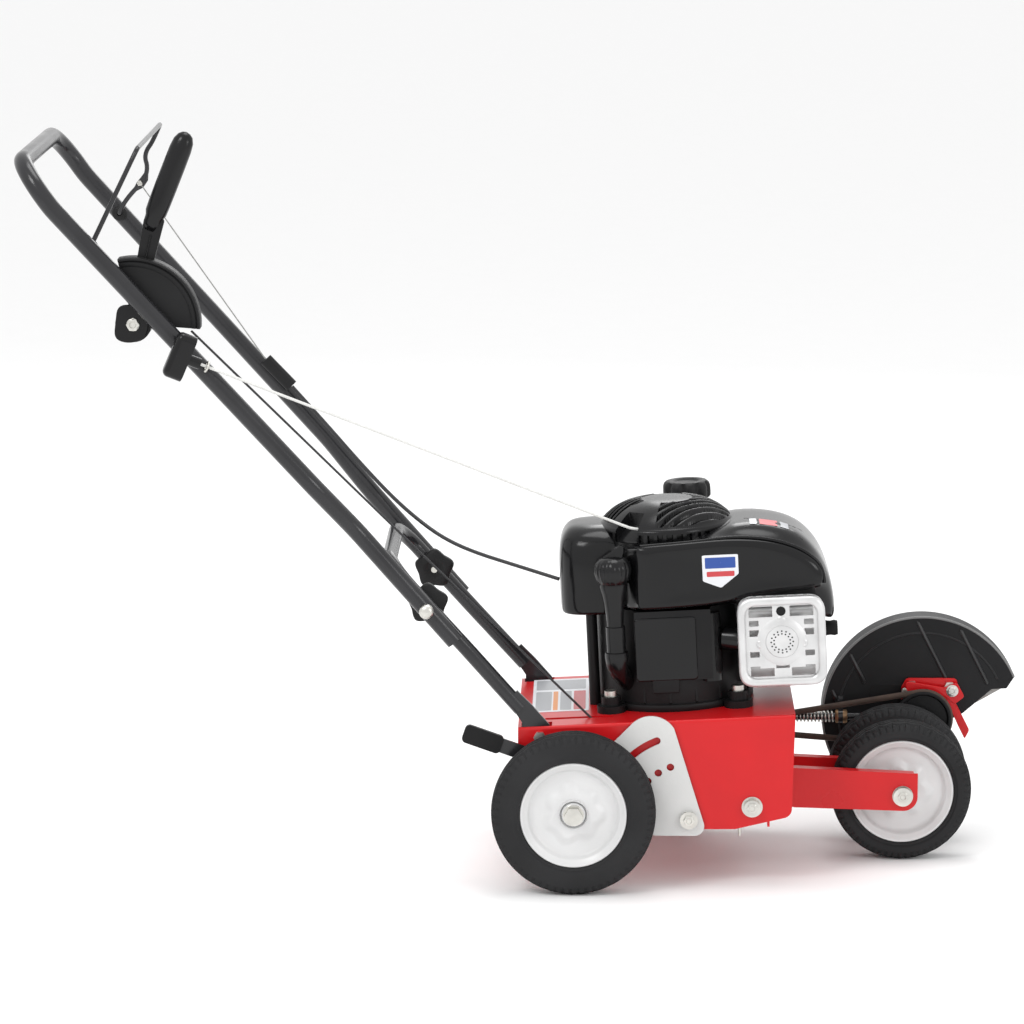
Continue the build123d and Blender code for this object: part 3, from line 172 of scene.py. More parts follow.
CAD_FINISH = (
    (RED, "deck_frame front_arms guard_bracket"),
    (HANDLE, "lower_handle blade_arm curb_lever upper_handle bail"),
    (ZINC, "front_axle cross_shaft frame_bolts crankshaft engine_pulley idler_upper idler_lower "
     "arm_spring guard_bolts spindle_shaft spindle_pulley blade_nut right_axle_bolt rope_guide"),
    (CASTING, "engine_base cylinder_block"),
    (BLACK_PAINT, "blower_housing"),
    (PLASTIC, "starter_cover fuel_tank air_cleaner recoil_reel lever_quadrant cable_clamp knob_right "
     "knob_left fuel_cap oil_cap"),
    (BRIGHT, "muffler muffler_guard"),
    (CAST_ALU, "carburettor flywheel spindle_housing"),
    (SHINY_PLASTIC, "oil_filler_tube depth_lever starter_grip"),
    (GRIP_RUBBER, "spark_plug curb_lever_grip"),
    (WIRE, "control_cable"),
    (SHEATH, "throttle_cable"),
    (ROPE, "starter_rope"),
    (BELT, "drive_belt"),
    (GUARD_PLASTIC, "blade_guard"),
    (STEEL, "blade"),
    (PLATE_GREY, "curb_plate"),
    (RIM_WHITE, "right_rear_rim left_rear_rim front_rim curb_rim"),
    (RUBBER, "right_rear_tyre left_rear_tyre front_tyre curb_tyre"),
)
for finish, names in CAD_FINISH:
    for name in names.split():
        piece = nodes[name]
        if not piece.data.materials:
            piece.data.materials.append(finish)
        for material_slot in piece.material_slots:
            material_slot.material = finish

# body, material and slot of the engine's pieces
BARE_SHEET = ("frame", BRIGHT, "bright_aluminium")
ENAMELLED = ("frame", BLACK_PAINT, "black_paint")
CASE_PARTS = ("frame", CASTING, "black_casting")

# ---------- mesh helpers
joints = {joint["name"]: joint for joint in frame["record"]["behaviour"]["joints"]}


def box(node):
    """Lowest and highest corners of a CAD node at rest, in millimetres."""
    low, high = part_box(node)
    return Vector(low) / MM, Vector(high) / MM


def pivot(joint):
    """Where a joint turns, in millimetres."""
    return Vector(joints[joint]["pos_m"]) / MM


# the engine stands square to its crankshaft, which leans back a little
UP = Vector(joints["crank_spin"]["axis"]).normalized()
TILT = asin(-UP.x)
base_low, base_high = box("engine_base")
SEAT = base_low.z + (base_high.x - base_low.x) / 2 * sin(TILT)
CRANK = pivot("crank_spin")
CRANK += UP * (SEAT - CRANK.z) / UP.z


def model(x, y, z):
    """Scene point from model millimetres."""
    return Vector((x, y, z)) * MM


def engine(u, v, w):
    """Scene point from millimetres forward, left and up along the engine's tilted axes."""
    return (CRANK + Vector((u * cos(TILT) - w * sin(TILT), v, u * sin(TILT) + w * cos(TILT)))) * MM


def along_engine(point):
    """Millimetres forward, left and up along the engine's axes, of a point in millimetres."""
    out = Vector(point) - CRANK
    return Vector((out.x * cos(TILT) + out.z * sin(TILT), out.y, out.z * cos(TILT) - out.x * sin(TILT)))


def reach(node):
    """Lowest and highest of a CAD node along the engine's axes."""
    points = [along_engine(corner.co / MM) for corner in nodes[node].data.vertices]
    return [Vector([pick(point[axis] for point in points) for axis in range(3)]) for pick in (min, max)]


def made(mesh, outward=True):
    """Mesh data of a finished bmesh, its faces turned outward."""
    if outward:
        bmesh.ops.recalc_face_normals(mesh, faces=mesh.faces)
    data = bpy.data.meshes.new("piece")
    mesh.to_mesh(data)
    mesh.free()
    return data


def skin(rings, around=False, caps=False):
    """Quad mesh through closed rings; around joins the last ring to the first, caps closes both ends."""
    mesh = bmesh.new()
    rows = [[mesh.verts.new(point) for point in ring] for ring in rings]
    pairs = list(zip(rows, rows[1:]))
    if around:
        pairs.append((rows[-1], rows[0]))
    for near, far in pairs:
        for here in range(len(near)):
            there = (here + 1) % len(near)
            mesh.faces.new((near[here], near[there], far[there], far[here]))
    if caps:
        mesh.faces.new(rows[0])
        mesh.faces.new(rows[-1])
    return made(mesh)


def begin(name, data, finish):
    """Smooth object of a mesh, in one finish."""
    data.name = name
    piece = bpy.data.objects.new(name, data)
    show(piece)
    data.materials.append(finish)
    data.shade_smooth()
    return piece


def modify(piece, kind, **settings):
    """Add a modifier with these settings."""
    modifier = piece.modifiers.new(kind.lower(), kind)
    for key, value in settings.items():
        setattr(modifier, key, value)


def put(name, data, body, finish, slot, replaces=(), sharp=35, bevel=0.0, levels=0, thick=0.0):
    """Make a piece of a mesh, smooth it, and let it ride on a body."""
    piece = begin(name, data, finish)
    if sharp:
        data.set_sharp_from_angle(angle=radians(sharp))
    if thick:
        modify(piece, "SOLIDIFY", thickness=thick * MM, offset=0)
    if bevel:
        modify(piece, "BEVEL", width=bevel * MM, segments=3, limit_method="ANGLE", angle_limit=radians(35),
               harden_normals=True)
    if levels:
        modify(piece, "SUBSURF", levels=levels, render_levels=levels)
    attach(piece, body)
    if replaces:
        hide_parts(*replaces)
    return piece


def rounded(points, radius, steps=5):
    """Outline whose corners are turned by a short curve that starts a radius from each corner."""
    out = []
    for index, corner in enumerate(points):
        here = Vector(corner)
        before = Vector(points[index - 1]) - here
        after = Vector(points[(index + 1) % len(points)]) - here
        start = here + before.normalized() * min(radius, before.length * 0.49)
        end = here + after.normalized() * min(radius, after.length * 0.49)
        for step in range(steps + 1):
            t = step / steps
            out.append(start * (1 - t) ** 2 + here * 2 * t * (1 - t) + end * t * t)
    return out


def prism(outline, place, low, high):
    """Straight-sided solid: place(a, b, c) gives the scene point of an outline point at depth c."""
    return skin([[place(a, b, c) for a, b in outline] for c in (low, high)], caps=True)


def spun(profile, place, count, shape=None, around=False):
    """Turned solid: profile of (radius, height); shape(radius, height, angle) may move a point."""
    rings = []
    for radius, height in profile:
        ring = []
        for step in range(count):
            angle = tau * step / count
            r, h = shape(radius, height, angle) if shape else (radius, height)
            ring.append(place(r * cos(angle), r * sin(angle), h))
        rings.append(ring)
    return skin(rings, around=around, caps=not around)


def hose(points, radii, sides=12, caps=True):
    """Round bar through points, with a radius at each; a pair of radii makes the section oval."""
    points = [Vector(point) for point in points]
    rings = []
    across = None
    for index, here in enumerate(points):
        ahead = points[min(index + 1, len(points) - 1)] - points[max(index - 1, 0)]
        ahead.normalize()
        if across is None:
            across = ahead.cross(Vector((0, 1, 0)))
            if across.length < 0.1:
                across = ahead.cross(Vector((0, 0, 1)))
        across = (across - ahead * across.dot(ahead)).normalized()
        other = ahead.cross(across)
        wide, deep = radii[index] if isinstance(radii[index], tuple) else (radii[index],) * 2
        rings.append([here + (across * wide * cos(tau * k / sides)
                              + other * deep * sin(tau * k / sides)) * MM for k in range(sides)])
    return skin(rings, caps=caps)


def curve_mesh(points, radius, order=3, resolution=12):
    """Mesh of a round bar along one smooth NURBS curve with these control points, in millimetres."""
    data = bpy.data.curves.new("line", "CURVE")
    data.dimensions = "3D"
    data.bevel_depth = radius * MM
    data.bevel_resolution = 3
    data.use_fill_caps = True
    spline = data.splines.new("NURBS")
    spline.points.add(len(points) - 1)
    for knot, point in zip(spline.points, points):
        knot.co = (*model(*point), 1)
    spline.order_u = order
    spline.use_endpoint_u = True
    spline.resolution_u = resolution
    holder = bpy.data.objects.new("line", data)
    show(holder)
    bpy.context.view_layer.update()
    mesh = bpy.data.meshes.new_from_object(
        holder.evaluated_get(bpy.context.evaluated_depsgraph_get()))
    bpy.data.objects.remove(holder)
    mesh.materials.clear()
    return mesh


def centreline(points, order=3, resolution=12):
    """Points along the same curve's middle."""
    line = curve_mesh(points, 0, order, resolution)
    return [tuple(knot.co) for knot in line.vertices]


def bend(name, data, finish, replaces=()):
    """Make a smooth piece in one finish, its placement baked into its mesh, and hide the CAD nodes it replaces."""
    piece = begin(name, data, finish)
    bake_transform(piece)
    if replaces:
        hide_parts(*replaces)
    return piece


def declare(points, resolution=12):
    """Work out the points along the middle of a curve through these points; they are not kept or used."""
    path = centreline(points, 3, resolution)


def lattice(a_lines, b_lines, holes, place):
    """Sheet of cells between the lines, left open at each (a, b) cell named in holes."""
    mesh = bmesh.new()
    grid = [[mesh.verts.new(place(a, b)) for b in b_lines] for a in a_lines]
    for i in range(len(a_lines) - 1):
        for j in range(len(b_lines) - 1):
            if (i, j) not in holes:
                mesh.faces.new((grid[i][j], grid[i + 1][j], grid[i + 1][j + 1], grid[i][j + 1]))
    bmesh.ops.delete(mesh, geom=[v for v in mesh.verts if not v.link_faces], context="VERTS")
    return made(mesh, outward=False)


def hex_bolt(name, body, place, radius, height, flange=0.0, lobes=6):
    """Bolt head with a washer face, chamfered corners and a shallow dimple; place(a, b, c) has c outward."""
    def shape(r, h, angle):
        if r < radius * 0.98 or h < 1.0:
            return r, h
        turn = (angle % (tau / lobes)) - pi / lobes
        return min(r, radius * cos(pi / lobes) / cos(turn)), h
    wide = flange or radius * 0.97
    profile = [(wide, 0), (wide, 0.7), (radius * 1.001, 1.2), (radius, height - 1.4),
               (radius * 0.985, height - 0.5), (radius * 0.8, height), (radius * 0.5, height),
               (radius * 0.42, height - 0.8), (0.3, height - 0.8)]
    return put(name, spun(profile, place, 48, shape), body, ZINC, "zinc_steel")


def y_out(x, y, z, sign):
    """Placement about a point, (forward, up, outward), with its third axis along Y and outward by sign."""
    return lambda a, b, c: model(x + a, y + sign * c, z + b)


# ---------- wheels
WHEELS = (("right_rear", -1), ("left_rear", 1), ("front", -1), ("curb", 1))
tyre_low, tyre_high = box("front_tyre")
WIDTH = tyre_high.y - tyre_low.y
TREAD_STEPS = 496
ZIGZAGS = 31
GROOVES = (7.6, 14.8, 22.0, 29.2, 36.4)


def zigzag(turns, angle):
    """Triangle wave between -1 and 1."""
    return 1 - 4 * abs((angle * turns / tau) % 1 - 0.5)


def tyre_profile(top):
    """Half section of a tyre, from its bead to the middle of its tread, as (across, radius)."""
    wall = [(4, 66.2), (2.4, 67.2), (1.3, 69), (1.9, 70.6), (0.9, 72.4), (0.3, 76), (0.1, top - 18),
            (0.5, top - 12), (0.9, top - 10), (1.6, top - 8.4), (2.4, top - 6.8), (3.4, top - 5.2),
            (4.6, top - 3.8), (6.0, top - 2.6), (7.4, top - 1.8)]
    crown = [(8.6 + 0.96 * k, top - 1.3 * (1 - k / 14) ** 2) for k in range(15)]
    return wall + crown


for label, out in WHEELS:
    body = label + "_wheel"
    x, _, top = pivot(body + "_spin")
    y = box(label + "_tyre")[0].y

    def tread(across, radius, angle):
        """Radius cut by three zigzag grooves and by notches along both shoulders."""
        edge = min(across, WIDTH - across)
        if radius < top - 9:
            return radius
        notch = (angle * 2 * ZIGZAGS / tau + (0.5 if across > WIDTH / 2 else 0)) % 1
        cut = 0.0
        if edge < 8.2 and notch < 0.26:
            cut = 2.3
        for line in GROOVES:
            gap = abs(across - line - 1.9 * zigzag(ZIGZAGS, angle))
            cut = max(cut, 2.1 * max(0.0, min(1.0, (1.45 - gap) / 0.5)))
        return radius - cut

    half = tyre_profile(top)
    section = half + [(WIDTH - across, radius) for across, radius in reversed(half[:-1])]
    rings = []
    for across, radius in section:
        ring = []
        for step in range(TREAD_STEPS):
            angle = tau * step / TREAD_STEPS
            r = tread(across, radius, angle)
            ring.append(model(x + r * cos(angle), y + across, top + r * sin(angle)))
        rings.append(ring)
    put(label + "_tread_tyre", skin(rings, around=True), body, RUBBER,
        "tyre_rubber", [label + "_tyre"], sharp=50)

    def disc(radius, depth, angle):
        """Pressed disc whose raised centre has a softly lobed edge."""
        if 17 < radius < 50:
            edge = 33 + 2.6 * cos(7 * angle + 0.4) + 1.4 * cos(3 * angle)
            rise = max(0.0, min(1.0, (edge + 7 - radius) / 14))
            depth -= 5.2 * rise * rise * (3 - 2 * rise)
        return radius, depth

    face = [(6.5, 7.0), (13.6, 7.0), (14.6, 8.0), (14.8, 11.2), (15.4, 12.6), (17.2, 17.8 - 5.2)]
    face += [(17.2 + 1.4 * k, 17.8) for k in range(1, 23)]
    face += [(50.5, 17.8), (53.4, 17.2), (55.2, 14.6), (56.2, 10.6), (57.8, 8.8), (61.0, 7.6),
             (62.6, 5.0), (64.2, 3.9), (65.4, 4.4), (66.0, 6.5), (66.0, 38.0), (65.0, 40.0), (62.5, 40.0),
             (60.5, 38.4), (57.0, 25.0), (50.0, 21.0), (16.0, 21.0), (15.0, 36.0), (6.5, 36.0)]
    on_wheel = y_out(x, y, top, 1) if out < 0 else y_out(x, y + WIDTH, top, -1)
    put(label + "_pressed_rim", spun(face, on_wheel, 196, disc, around=True),
        body, RIM_WHITE, "white_plastic", [label + "_rim"], sharp=60)
    cup = [(6.6, 5.9), (12.4, 5.9), (13.2, 6.5), (13.3, 8.0), (6.6, 8.0)]
    put(label + "_hub_cup", spun(cup, on_wheel, 64, around=True), body, ZINC,
        "zinc_steel", sharp=40)

# ---------- engine shroud
# outlines seen from the side: shares of the housing's length and height
PANEL = [(.315, .27), (.313, .31), (.313, .76), (.315, .80), (.335, .815), (.42, .825), (.52, .84),
         (.63, .85), (.75, .82), (.85, .73), (.905, .64), (.935, .55), (.935, .45), (.92, .41), (.85, .40),
         (.72, .375), (.60, .285), (.36, .265)]
EDGE = [(.283, .24), (.281, .29), (.281, .79), (.283, .835), (.305, .855), (.41, .865), (.52, .88),
        (.63, .895), (.755, .865), (.86, .775), (.92, .67), (.955, .56), (.955, .43), (.935, .385), (.86, .37),
        (.72, .345), (.58, .255), (.33, .235)]
HOOD = [(.225, .18), (.225, .26), (.225, .72), (.235, .80), (.26, .83), (.39, .845), (.50, .86),
        (.62, 1.0), (.75, 1.0), (.86, .92), (.92, .78), (.965, .60), (.992, .36), (1.0, .03), (.975, .01),
        (.955, .05), (.94, .25), (.45, .21)]
house_low, house_high = reach("blower_housing")
house = house_high - house_low


def on_house(along, up):
    """Engine millimetres forward and up of a share of the housing's length and height."""
    return house_low.x + along * house.x, house_low.z + up * house.z


def on_shroud(along, across, up):
    """Scene point at shares of the housing's length, width and height."""
    u, w = on_house(along, up)
    return engine(u, house_low.y + across * house.y, w)


def inward(outline, share):
    """Outline drawn towards its own middle."""
    mid = sum((Vector(point) for point in outline), Vector((0, 0))) / len(outline)
    return [tuple(Vector(point).lerp(mid, share)) for point in outline]


def between(near, far, share):
    """Outline part of the way from one to the other."""
    return [tuple(Vector(p).lerp(Vector(q), share)) for p, q in zip(near, far)]


# shares of the housing's width, right to left
SHROUD = [
    (.005, inward(PANEL, 0.45)), (.001, inward(PANEL, 0.08)), (.002, PANEL), (.022, EDGE),
    (.035, EDGE), (.08, between(EDGE, HOOD, 0.3)), (.13, between(EDGE, HOOD, 0.72)), (.19, HOOD),
    (.33, HOOD), (.53, HOOD), (.73, HOOD), (.86, between(HOOD, EDGE, 0.4)), (.94, between(HOOD, EDGE, 0.8)),
    (.98, EDGE), (.998, PANEL), (1.0, inward(PANEL, 0.08)), (.996, inward(PANEL, 0.45)),
]
put("engine_shroud",
    skin([[on_shroud(along, across, up) for along, up in outline] for across, outline in SHROUD], caps=True),
    *ENAMELLED, ["blower_housing"], sharp=0, levels=2)

# rear lobe, seen from above: shares of the housing's length and width, then of its height
LOBE = [(.24, .21), (.13, .205), (.06, .225), (.018, .28), (0, .36), (0, .53), (0, .73), (.018, .84),
        (.073, .92), (.143, .94), (.24, .94), (.283, .73), (.283, .38)]
LOBE_LEVELS = [(.155, 0.5), (.147, 0.1), (.155, 0.03), (.19, 0.0), (.40, 0.0), (.64, 0.0), (.79, 0.04),
               (.88, 0.12), (.94, 0.26), (.975, 0.42), (.985, 0.66)]
put("rear_shroud_lobe",
    skin([[on_shroud(along, across, up) for along, across in inward(LOBE, share)]
                              for up, share in LOBE_LEVELS], caps=True),
    *ENAMELLED, sharp=0, levels=2)

# raised bead along the shroud's seam
bead = [on_shroud(along, .045, up) for along, up in between(EDGE, HOOD, 0.12)[4:13]]
put("shroud_seam_bead",
    curve_mesh([tuple(point / MM) for point in bead], 2.2),
    *ENAMELLED, sharp=0)

# ---------- starter dome
dome_low, dome_high = reach("starter_cover")
DOME_R = (dome_high.y - dome_low.y) / 2
DOME_TOP = dome_high.z


def dome_height(radius):
    """Height of the dome's top at a radius."""
    return DOME_TOP - 30.6 * (radius / DOME_R) ** 3.4


SLOT_TURN = radians(40)
SLOT_PITCH = 9.6
SLOT_DEPTH = 6.5
POCKET = (radians(-138), radians(-116))


def dome_shape(radius, height, angle):
    """Louvres in slanting rows on both flanks, a pocket for the rope, and windows round the skirt."""
    turn = (angle + pi) % tau - pi
    drop = DOME_TOP - height
    if drop < 28.6:
        across = -radius * cos(angle) * sin(SLOT_TURN) + radius * sin(angle) * cos(SLOT_TURN)
        row = (across / SLOT_PITCH) % 1
        front = radians(-100) < turn < radians(58) and 34 < radius < 80
        rear = not radians(-150) < turn < radians(112) and 30 < radius < 79
        if (front or rear) and row < 0.5:
            height -= SLOT_DEPTH
        elif front or rear:
            height += 1.2 * (1 - abs(row - 0.75) / 0.25)
        if POCKET[0] < turn < POCKET[1] and radius > 62:
            height -= 15
    elif 30.6 < drop < 47.6:
        if POCKET[0] < turn < POCKET[1] and drop < 43.6:
            radius -= 22
        elif 33.6 < drop < 43.6 and (angle * 44 / tau) % 1 < 0.55:
            radius -= 4.5
    return radius, height


dome_rows = [(0.4, dome_height(0))] + [(r, dome_height(r)) for r in range(6, 30, 6)]
dome_rows += [(30 + 0.9 * k, dome_height(30 + 0.9 * k)) for k in range(60)]
dome_rows += [(DOME_R - 1 if k == 0 else DOME_R, DOME_TOP - drop) for k, drop in
              enumerate((28.4, 31, 33.2, 33.8, 39.6, 43.2, 44))]
dome_rows += [(DOME_R, dome_low.z + 2.7), (DOME_R, dome_low.z + 1.2), (DOME_R, dome_low.z), (70.0, dome_low.z)]
put("starter_dome", spun(dome_rows, engine, 600, dome_shape), "frame", SHINY_PLASTIC,
    "black_plastic", ["starter_cover"], sharp=40)

# ---------- fuel cap
cap_low, cap_high = reach("fuel_cap")
cap_mid = (cap_low + cap_high) / 2
CAP_R = (cap_high.y - cap_low.y) / 2


def on_neck(a, b, c):
    """Point forward, left and down from the middle of the fuel cap's top."""
    return engine(cap_mid.x + a, cap_mid.y + b, cap_high.z - c)


def flutes(radius, height, angle):
    """Nine broad finger flutes."""
    depth = 0.5 - 0.5 * cos(9 * angle)
    return radius - (3.6 * depth ** 2 if radius > 26 else 0), height


cap_rows = [(0.3, 2.6), (13.0, 2.6), (15.0, 2.0), (17.0, 0.4), (22.0, 0.0), (26.0, 0.6), (29.0, 3.0),
            (CAP_R - 0.4, 7.0), (CAP_R, 15.0), (CAP_R - 0.2, 20.0), (29.0, 22.6), (20.6, 22.8)]
put("fluted_fuel_cap", spun(cap_rows, on_neck, 180, flutes), "fuel_cap", PLASTIC,
    "black_plastic", ["fuel_cap"], sharp=50)

# ---------- oil filler
oil_axis = along_engine(pivot("oil_cap_turn"))
oil_top = reach("oil_cap")[1].z
tube_low, tube_high = reach("oil_filler_tube")


def on_filler(a, b, c):
    """Point forward, left and up about the filler's axis."""
    return engine(oil_axis.x + a, oil_axis.y + b, c)


oil_rows = [(0.3, 14), (9, 14.4), (16, 16.6), (21, 21), (23.4, 27), (23.6, 34), (21.6, 42), (18.4, 47.6),
            (15.8, 48.6), (0.3, 48.6)]
put("oil_cap_head", spun(oil_rows, lambda a, b, c: on_filler(a, b, oil_top - c), 72,
                         lambda r, h, t: (r - (0.9 if r > 20 and cos(18 * t) > 0.3 else 0), h)),
    "oil_cap", SHINY_PLASTIC, "black_plastic", ["oil_cap"], sharp=40)
wing = rounded([(-13, -21), (9, -23), (15, -7), (14, 0), (7, -1.5), (-4, -10), (-14, -16)], 5)
put("oil_cap_wing", prism(wing, lambda a, b, c: on_filler(a, c, oil_top + b), -5.5, 5.5), "oil_cap",
    SHINY_PLASTIC, "black_plastic", bevel=2.0)
# neck, collar and lower boot: share of the tube's height, radius, and the lean towards the crankcase
NECK = ((1.0, 17.4, 0), (.975, 17.8, 0), (.90, 15.2, 0), (.81, 13.0, 0), (.71, 11.2, 0), (.62, 10.4, 0),
        (.60, 10.6, 0), (.594, 12.2, 0), (.50, 12.2, 0), (.405, 12.0, 0), (.36, 12.2, 0), (.354, 14.4, 0),
        (.31, 14.8, 0), (.24, 13.6, 0), (.16, 12.6, 6), (.09, 11.5, 16), (.02, 11.0, 27))
neck_points = [on_filler(lean / 2, lean, tube_low.z + share * (tube_high.z - tube_low.z))
               for share, _, lean in NECK]
put("oil_filler_neck", hose(neck_points, [radius for _, radius, _ in NECK], 40), "frame",
    SHINY_PLASTIC, "black_plastic", ["oil_filler_tube"], sharp=50)

# ---------- muffler guard
plate_low, plate_high = reach("muffler_guard")
plate_mid = (plate_low + plate_high) / 2
HALF_U = (plate_high.x - plate_low.x) / 2
HALF_W = (plate_high.z - plate_low.z) / 2


def on_guard(a, b, c):
    """Point of the muffler guard: forward, up, and outward from the guard's sheet."""
    return engine(plate_mid.x + a, plate_low.y + 9 - c, plate_mid.z + b)


def square(half_u, half_w, corner):
    """Rounded rectangle about the guard's middle."""
    return rounded([(-half_u, -half_w), (half_u, -half_w), (half_u, half_w), (-half_u, half_w)], corner, 8)


# inset from the guard's outline, corner radius, and height off the sheet
BORDER = [(0.4, 20, 0), (0, 20, 5.0), (1.4, 19, 8.0), (4, 18, 9.0), (7.6, 16, 8.8), (9.6, 15, 7.2),
          (10.4, 14, 4.0), (10.4, 14, 0)]
put("muffler_guard_border",
    skin([[on_guard(a, b, c) for a, b in square(HALF_U - inset, HALF_W - inset, corner)]
                                  for inset, corner, c in BORDER], around=True),
    *BARE_SHEET, ["muffler_guard"], sharp=60)
# window edges as shares of the half sizes
A_LINES = [HALF_U * share for share in
           (-.85, -.77, -.73, -.52, -.48, -.20, -.15, .15, .20, .48, .52, .73, .77, .85)]
B_LINES = [HALF_W * share for share in
           (-.85, -.78, -.60, -.55, -.48, -.34, -.22, .13, .27, .36, .48, .56, .79, .85)]
WINDOWS = {(column, row) for column in (2, 10) for row in (2, 5, 7, 9)}
WINDOWS |= {(column, 11) for column in (2, 3, 4, 8, 9, 10)}
WINDOWS |= {(6, 3), (6, 2)} | {(column, 1) for column in (2, 3, 4, 8, 9, 10)}
put("muffler_guard_plate",
    lattice(A_LINES, B_LINES, WINDOWS, lambda a, b: on_guard(a, b, 2.0)), *BARE_SHEET, thick=2.0, bevel=0.7)
put("muffler_guard_boss",
    spun([(31, 2.4), (28, 4.0), (23, 5.4), (20.6, 5.6), (19.6, 6.8), (14, 7.2), (7.8, 7.2),
                                (6.6, 6.4), (0.3, 6.4)], on_guard, 96), *BARE_SHEET,
    sharp=40)
for index, (a, b) in enumerate(((-26, -3), (26, -3), (0, 26))):
    put(f"guard_dimple_{index}",
        spun([(6.5, 2.6), (5.0, 4.2), (3.0, 4.6), (2.0, 3.8), (0.3, 3.6)],
             lambda p, q, c: on_guard(a + p, b + q, c), 32), *BARE_SHEET, sharp=50)


def shade_dots(centres, radius, place):
    """Painted shade in small hole mouths, each a shallow dished dark disc."""
    mesh = bmesh.new()
    for a, b in centres:
        rim = [mesh.verts.new(place(a + radius * cos(k * pi / 6), b + radius * sin(k * pi / 6), 0.12))
               for k in range(12)]
        pit = mesh.verts.new(place(a, b, 0.02))
        for k in range(12):
            mesh.faces.new((rim[k], rim[(k + 1) % 12], pit))
    return made(mesh)


# the dark discs at the guard's small holes are painted shade
ring_holes = [(13.6 * cos(tau * k / 16), 13.6 * sin(tau * k / 16)) for k in range(16)]
ring_holes += [(10.2 * cos(tau * (k + 0.5) / 14), 10.2 * sin(tau * (k + 0.5) / 14)) for k in range(14)]
put("guard_ring_hole_shade", shade_dots(ring_holes, 1.05, lambda a, b, c: on_guard(a, b, 7.2 + c)),
    "frame", GRIP_RUBBER, "black_plastic", sharp=0)
put("guard_top_hole_shade", shade_dots([(0, 38)], 6.0, lambda a, b, c: on_guard(a, b, 3.1 + c)),
    "frame", GRIP_RUBBER, "black_plastic", sharp=0)
# bent rim of the guard, with a slot between each pair of tabs
tab_line = square(HALF_U - 1.6, HALF_W - 1.6, 19)
tab_levels = [0.0, 3.0, 11.0, 14.0]
tab_mesh = bmesh.new()
tab_grid = []
spaced = []
for here, there in zip(tab_line, tab_line[1:] + tab_line[:1]):
    parts = max(1, round((there - here).length / 4.2))
    spaced += [here.lerp(there, k / parts) for k in range(parts)]
for a, b in spaced:
    tab_grid.append([tab_mesh.verts.new(on_guard(a, b, -level)) for level in tab_levels])
for index in range(len(tab_grid)):
    here, there = tab_grid[index], tab_grid[(index + 1) % len(tab_grid)]
    for level in range(3):
        if level == 1 and index % 3 != 0:
            continue
        tab_mesh.faces.new((here[level], there[level], there[level + 1], here[level + 1]))
put("muffler_guard_rim", made(tab_mesh), *BARE_SHEET, thick=1.4, bevel=0.4)

# ---------- crankcase
CASE_R = (base_high.y - base_low.y) / 2
for index in range(18):
    angle = tau * index / 18 + 0.12
    if abs((angle % (pi / 2)) - pi / 4) < 0.14:
        continue
    rib = [(CASE_R - 17, 9), (CASE_R - 4.5, 9), (CASE_R - 2.2, 11), (CASE_R - 4.5, 34), (CASE_R - 17, 34)]
    put(f"base_rib_{index}",
        prism(rib,
              lambda a, b, c: engine(a * cos(angle) - c * sin(angle), a * sin(angle) + c * cos(angle), b),
              -1.6, 1.6), *CASE_PARTS, bevel=0.6)
flange_rows = [(-21, 9), (-1.4, 9), (0.4, 8.4), (1.0, 6.6), (1.0, 2.2), (0.4, 0.6), (-1.4, 0.2), (-21, 0.2)]
put("crankcase_flange", spun([(CASE_R + r, h) for r, h in flange_rows], engine, 160, around=True),
    *CASE_PARTS, sharp=50)
case_top = reach("engine_base")[1].z


def on_case(a, b, c):
    """Point forward, up and outward on the crankcase's right side."""
    return engine(a, c - CASE_R, b)


panel_face = rounded([(-.47 * CASE_R, .31 * case_top), (.31 * CASE_R, .31 * case_top),
                      (.31 * CASE_R, .94 * case_top), (-.47 * CASE_R, .94 * case_top)], 6)
put("crankcase_side_panel",
    prism(panel_face, on_case, -0.5, 6),
    *ENAMELLED, bevel=2.5)
put("breather_column",
    hose([engine(.48 * CASE_R, -.81 * CASE_R, case_top * share) for share in (.28, .45, .67, .83, .95)],
         [13.5, 14.5, 14.5, 14, 13], 32), *ENAMELLED)
terminal = rounded([(-27, 24), (7, 24), (7, 44), (-27, 44)], 3)
put("base_terminal_boss", prism(terminal, on_case, 0, 11),
    *CASE_PARTS, bevel=1.5)
pipe_low, pipe_high = reach("muffler")
pipe = [(-34, 0.55), (-20, 0.54), (-8, 0.51), (0, 0.43)]
put("exhaust_neck",
    hose([engine(pipe_low.x + 14 + out, -76 - 12 * (out + 34) / 34,
                 pipe_low.z + share * (pipe_high.z - pipe_low.z)) for out, share in pipe],
         [15, 15, 14, 13], 28), *ENAMELLED)
plug_low, plug_high = reach("spark_plug")
plug_mid = (plug_low + plug_high) / 2
boot = [engine(plug_high.x - back, plug_mid.y, plug_mid.z) for back in (18, 15, 9, 4, 1, 0)]
put("spark_plug_boot", hose(boot, [8.5, 9.6, 9.0, 10.0, 9.0, 5.5], 28), "frame", GRIP_RUBBER,
    "black_rubber")

# ---------- spring, belt and linkage
COILS = 13
coil_low, coil_high = box("arm_spring")
coil_mid = (coil_low + coil_high) / 2
COIL_R = 6.7
COIL_STEPS = 22
spring = []
for step in range(COILS * COIL_STEPS + 1):
    turn = step / COIL_STEPS
    spring.append(model(coil_low.x - 5 + (coil_high.x - coil_low.x + 6) * turn / COILS,
                        coil_mid.y + COIL_R * cos(tau * turn), coil_mid.z + COIL_R * sin(tau * turn)))
put("coil_spring", hose(spring, [1.15] * len(spring), 8), "blade_head", ZINC, "zinc_steel",
    ["arm_spring"], sharp=0)
collar = [model(coil_high.x + ahead, coil_mid.y, coil_mid.z) for ahead in (2, 2.6, 4, 16, 17.4, 18)]
put("spring_collar", hose(collar, [6.5, 8.2, 8.9, 8.9, 8.2, 6.5], 36), "blade_head", BRONZE,
    "blade_steel", sharp=30)
